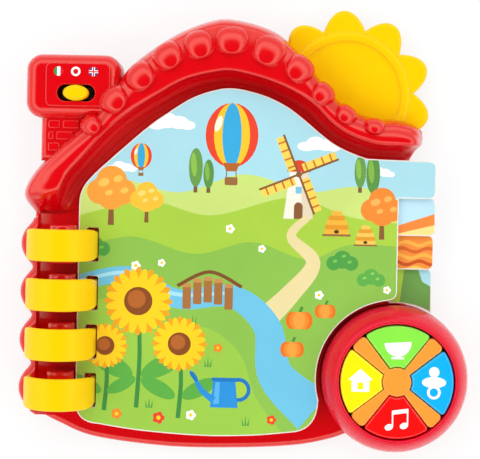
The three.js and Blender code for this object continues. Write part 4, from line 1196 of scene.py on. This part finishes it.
def cross_loop(reach, corner=3.0):
    """Four arms that widen outwards to rounded ends, joined at a round hub. Each side of an arm is
    the line beside a wedge button, one gap away from it."""
    flare = 45 - WEDGE_HALF
    side = WEDGE_SIDE - BUTTON_GAP
    spread = flare + math.degrees(math.asin((side - corner) / (reach - corner)))
    root = flare + math.degrees(math.asin(side / HUB_R))
    pieces = []
    for middle in range(45, 405, 90):
        pieces += rounded_end(middle, reach, corner, spread, flare + 90, 10, 12)
        pieces.append(arc(*UNIT, HUB_R, middle + root, middle + 90 - root, 12))
    return outline(*pieces)


def wedge_loop(middle, corner=1.8):
    """An outer arc, two sides beside the cross's arms, and a hollow inner end, with the two outer
    corners rounded."""
    outer = DIAL_R - 2 * BUTTON_GAP
    inner = HUB_R + BUTTON_GAP
    spread = WEDGE_HALF - math.degrees(math.asin((WEDGE_SIDE + corner) / (outer - corner)))
    inner_spread = WEDGE_HALF - math.degrees(math.asin(WEDGE_SIDE / inner))
    return outline(
        *rounded_end(middle, outer, corner, spread, WEDGE_HALF + 90, 8, 30),
        arc(*UNIT, inner, middle + inner_spread, middle - inner_spread, 12),
    )


cross = skins("dial_spider", [slab_grid(cross_loop(DIAL_R - BUTTON_GAP), rounding(26, 34.5, 1.2))])
dress(cross, orange_abs, nodes=["dial_cross"])
BUTTONS = {"green": (90, green_abs), "blue": (0, blue_abs), "red": (270, signal_abs),
           "yellow": (180, lemon_abs)}
button_levels = rounding(24, BUTTON_TOP, 1.4, 0, 8)
for colour, (middle, material) in BUTTONS.items():
    cap = skins(f"wedge_{colour}", [slab_grid(wedge_loop(middle), button_levels)])
    dress(cap, material, f"{colour}_key", [f"button_{colour}"])

# %% [markdown]
# ## The marks on the buttons
# Each button has one pad-printed white mark: a bowl, a dummy, a pair of notes and a house. They are
# drawn as simple outlines about 15 mm across and stand a tenth of a millimetre proud.

# %% Button marks
INK_STEP = 0.08
MARKS = {
    "bowl": ("green", (0, 22.5), [
        outline(arc(0, 1.5, 8.2, 180, 360, 30), [8.2, 2.6]),
        rounded_box(-4, -8.2, 4, -6.9, 0.5, 4),
    ], []),
    "dummy": ("blue", (22.5, 0), [
        ellipse(0, 0.5, 7.4, 3.4, 0, 40),
        circle(0, 6.8, 3.2, 30),
        circle(0, -5.6, 4.2, 30),
    ], [circle(0, -5.6, 2.6, 26)]),
    "notes": ("red", (0, -23), [
        ellipse(-4.6, -4.4, 2.6, 1.9, 20, 26),
        ellipse(4.6, -3.4, 2.6, 1.9, 20, 26),
        outline([[-2.9, -4], [-2, -4], [-2, 3.4], [6.3, 4.6], [6.3, -3], [7.2, -3], [7.2, 7.2],
                 [-2.9, 5.8]]),
    ], []),
    "house": ("yellow", (-22.5, 0), [
        outline([[-5.4, -6], [5.4, -6], [5.4, 1.2], [7.6, 1.2], [0, 8], [-7.6, 1.2], [-5.4, 1.2]]),
    ], [rounded_box(-1.7, -4.6, 1.7, -0.4, 0.3, 3)]),
}
for name, (colour, middle, shapes, holes) in MARKS.items():
    for number, shape in enumerate(shapes, 1):
        own = [UNIT + middle + hole for hole in holes if inside(hole.mean(0), shape)]
        levels = [(BUTTON_TOP, 0.0), (BUTTON_TOP + INK_STEP * number, 0.0)]
        piece = plate(f"mark_{name}_{number}", UNIT + middle + shape, own, levels)
        dress(piece, white_ink, f"{colour}_key", [])

# %% [markdown]
# ## The switch sticker
# Above the knob the chimney has three printed discs for its three settings: a tricolour, a ring and
# a cross. Each is a film of a few flat inks.

# %% Sticker discs
DISC_Y = 95.0
DISC_R = 2.9
STICKER = 0.08
DISC_RED = "#E0202A"
DISCS = {
    "disc_tricolour": (-115.3, WHITE, [
        ("#1FA04A", box(-4.7, -5, -1, 5)),
        (DISC_RED, box(1, -5, 5.3, 5)),
    ]),
    "disc_ring": (-104.8, WHITE, [("#E0000F", circle(0, 0, DISC_R * 0.55, 30))]),
    "disc_cross": (-93.9, "#27408B", [
        (WHITE, box(-4.1, -0.9, 3.9, 0.9)),
        (WHITE, box(-0.9, -5, 0.9, 5)),
        (DISC_RED, box(-4.1, -0.4, 3.9, 0.4)),
        (DISC_RED, box(-0.4, -5, 0.4, 5)),
    ]),
}
for name, (x, paper, art) in DISCS.items():
    moved = [(ink, shape + (x, DISC_Y)) for ink, shape in art]
    rim = circle(x, DISC_Y, DISC_R, 40)
    piece = printed_film(name, [rim], paper, moved, PANEL_TOP, PANEL_TOP + STICKER)
    dress(piece, film, "housing", [])

# %% [markdown]
# ## The carried-over nodes
# The flat back, its door, the screws and the parts inside keep their solids. Each gets the finish of
# its real material; the slide switch is black plastic whose dark also paints the shade in the knob's
# slot.

# %% Finishes of the frame's own nodes
NODE_FINISHES = {
    cover_abs: ["back_cover", "battery_door"],
    steel: ["contact_springs", "contact_studs", "door_screw",
            *(f"back_screw_{i}" for i in range(1, 7))],
    silicone: ["keypad_mat"],
    board_lacquer: ["circuit_board"],
    # the slide switch's black body also paints the shade in the knob's slot
    black_pvc_and_slot_shade: ["speaker", "slide_switch", "switch_lead", "speaker_lead"],
    cell_foil: [f"battery_cell_{i}" for i in range(1, 4)],
}
for material, names in NODE_FINISHES.items():
    for name in names:
        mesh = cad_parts[name].data
        mesh.materials.clear()
        mesh.materials.append(material)
    print(material.name, "on", len(names), "nodes")

# %% [markdown]
# ## The set
# A white floor and a studio whose walls carry a bright belt. The belt is what the red plastic
# mirrors as broad pale gloss, while the dark ceiling keeps the faces that look up deep in colour.
# Three soft lamps model the shapes, but aren't mirrored. Product pictures are cut out on white, so
# the floor is also lit for the camera alone.


# %% Floor and studio walls
def paper_sweep():
    """White paper, mixed with plain white light where the camera itself looks at it."""
    camera_share = 0.78
    material = bpy.data.materials.new("white_paper_sweep")
    material.use_nodes = True
    tree = material.node_tree
    paper = tree.nodes["Principled BSDF"]
    paper.inputs["Base Color"].default_value = linear("#FAFAFA")
    paper.inputs["Roughness"].default_value = 0.8
    light = node(tree, "ShaderNodeEmission", Color=(1, 1, 1, 1), Strength=1.0)
    seen = node(tree, "ShaderNodeLightPath")
    share = node(tree, "ShaderNodeMath", [(seen, "Is Camera Ray", 0)], operation="MULTIPLY")
    share.inputs[1].default_value = camera_share
    links = [(share, 0, 0), (paper, "BSDF", 1), (light, "Emission", 2)]
    mixed = node(tree, "ShaderNodeMixShader", links)
    tree.links.new(mixed.outputs["Shader"], tree.nodes["Material Output"].inputs["Surface"])
    return material


def studio_walls():
    """Light by height of view: a grey horizon, a bright belt and a dark ceiling."""
    world = bpy.data.worlds.new("studio")
    world.use_nodes = True
    tree = world.node_tree
    where = node(tree, "ShaderNodeTexCoord")
    height = node(tree, "ShaderNodeSeparateXYZ", [(where, "Generated", 0)])
    belt = node(tree, "ShaderNodeValToRGB", [(height, "Z", 0)])
    stops = belt.color_ramp.elements
    stops[0].position, stops[1].position = 0.42, 0.9
    stops[0].color = (0.42, 0.42, 0.42, 1)
    stops[1].color = (0.03, 0.03, 0.03, 1)
    for position in (0.58, 0.76):
        stops.new(position).color = (0.95, 0.95, 0.95, 1)
    power = node(tree, "ShaderNodeMath", [(belt, "Color", 0)], operation="MULTIPLY")
    power.inputs[1].default_value = 2.0
    backdrop = tree.nodes["Background"]
    tree.links.new(power.outputs[0], backdrop.inputs["Strength"])
    backdrop.inputs["Color"].default_value = (1, 1, 1, 1)
    return world


FLOOR_HALF = 3.0
corners = [(x * FLOOR_HALF, y * FLOOR_HALF, 0) for x, y in ((-1, -1), (1, -1), (1, 1), (-1, 1))]
floor_mesh = bpy.data.meshes.new("floor")
floor_mesh.from_pydata(corners, [], [(0, 1, 2, 3)])
floor_mesh.materials.append(paper_sweep())
floor = show(floor_mesh)
bpy.context.scene.world = studio_walls()
print("floor", 2 * FLOOR_HALF, "m wide")

# %% [markdown]
# The lamps stand behind the book's head, at its left and at its right. The camera hangs 0.85 m above
# the cover's face and looks straight down. Its foot lies above the picture's middle, so a small
# shift frames the book as the photo does.


# %% Lamps and camera
def softbox(name, location, size, power):
    """A rectangular area lamp that faces the middle of the book and isn't mirrored."""
    lamp = bpy.data.lights.new(name, "AREA")
    lamp.shape = "RECTANGLE"
    lamp.size, lamp.size_y = size
    lamp.energy = power
    stand = bpy.data.objects.new(name, lamp)
    bpy.context.scene.collection.objects.link(stand)
    x, y, z = location
    stand.location = location
    stand.rotation_euler = (math.atan2(math.hypot(x, y), z), 0, math.atan2(x, -y))
    stand.visible_glossy = False


softbox("top_softbox", (-0.1, 0.75, 1.2), (0.9, 0.5), 1.8)
softbox("left_softbox", (-1.0, -0.2, 0.9), (0.5, 0.9), 0.9)
softbox("right_fill", (1.1, -0.3, 1.0), (0.8, 0.8), 0.9)

FOOT = np.array([-0.57, 27.3])
VIEW_HEIGHT = 850.0
VIEW_WIDTH = 297.6
PICTURE_WIDTH = 480
CAMERA_TURN = 1.2
camera = bpy.data.cameras.new("camera")
camera.sensor_width = 36.0
camera.lens = camera.sensor_width * VIEW_HEIGHT / VIEW_WIDTH
camera.shift_x = -3 / PICTURE_WIDTH
camera.shift_y = -44.5 / PICTURE_WIDTH
camera.clip_end = 20
eye = bpy.data.objects.new("camera", camera)
bpy.context.scene.collection.objects.link(eye)
eye.location = (*((FOOT + SHIFT) * MM), (LEAF_TOP + VIEW_HEIGHT) * MM)
eye.rotation_euler = (0, 0, math.radians(CAMERA_TURN))
bpy.context.scene.camera = eye
bpy.context.scene.view_settings.view_transform = "Standard"
print("camera", round(camera.lens), "mm at", [round(v, 3) for v in eye.location])
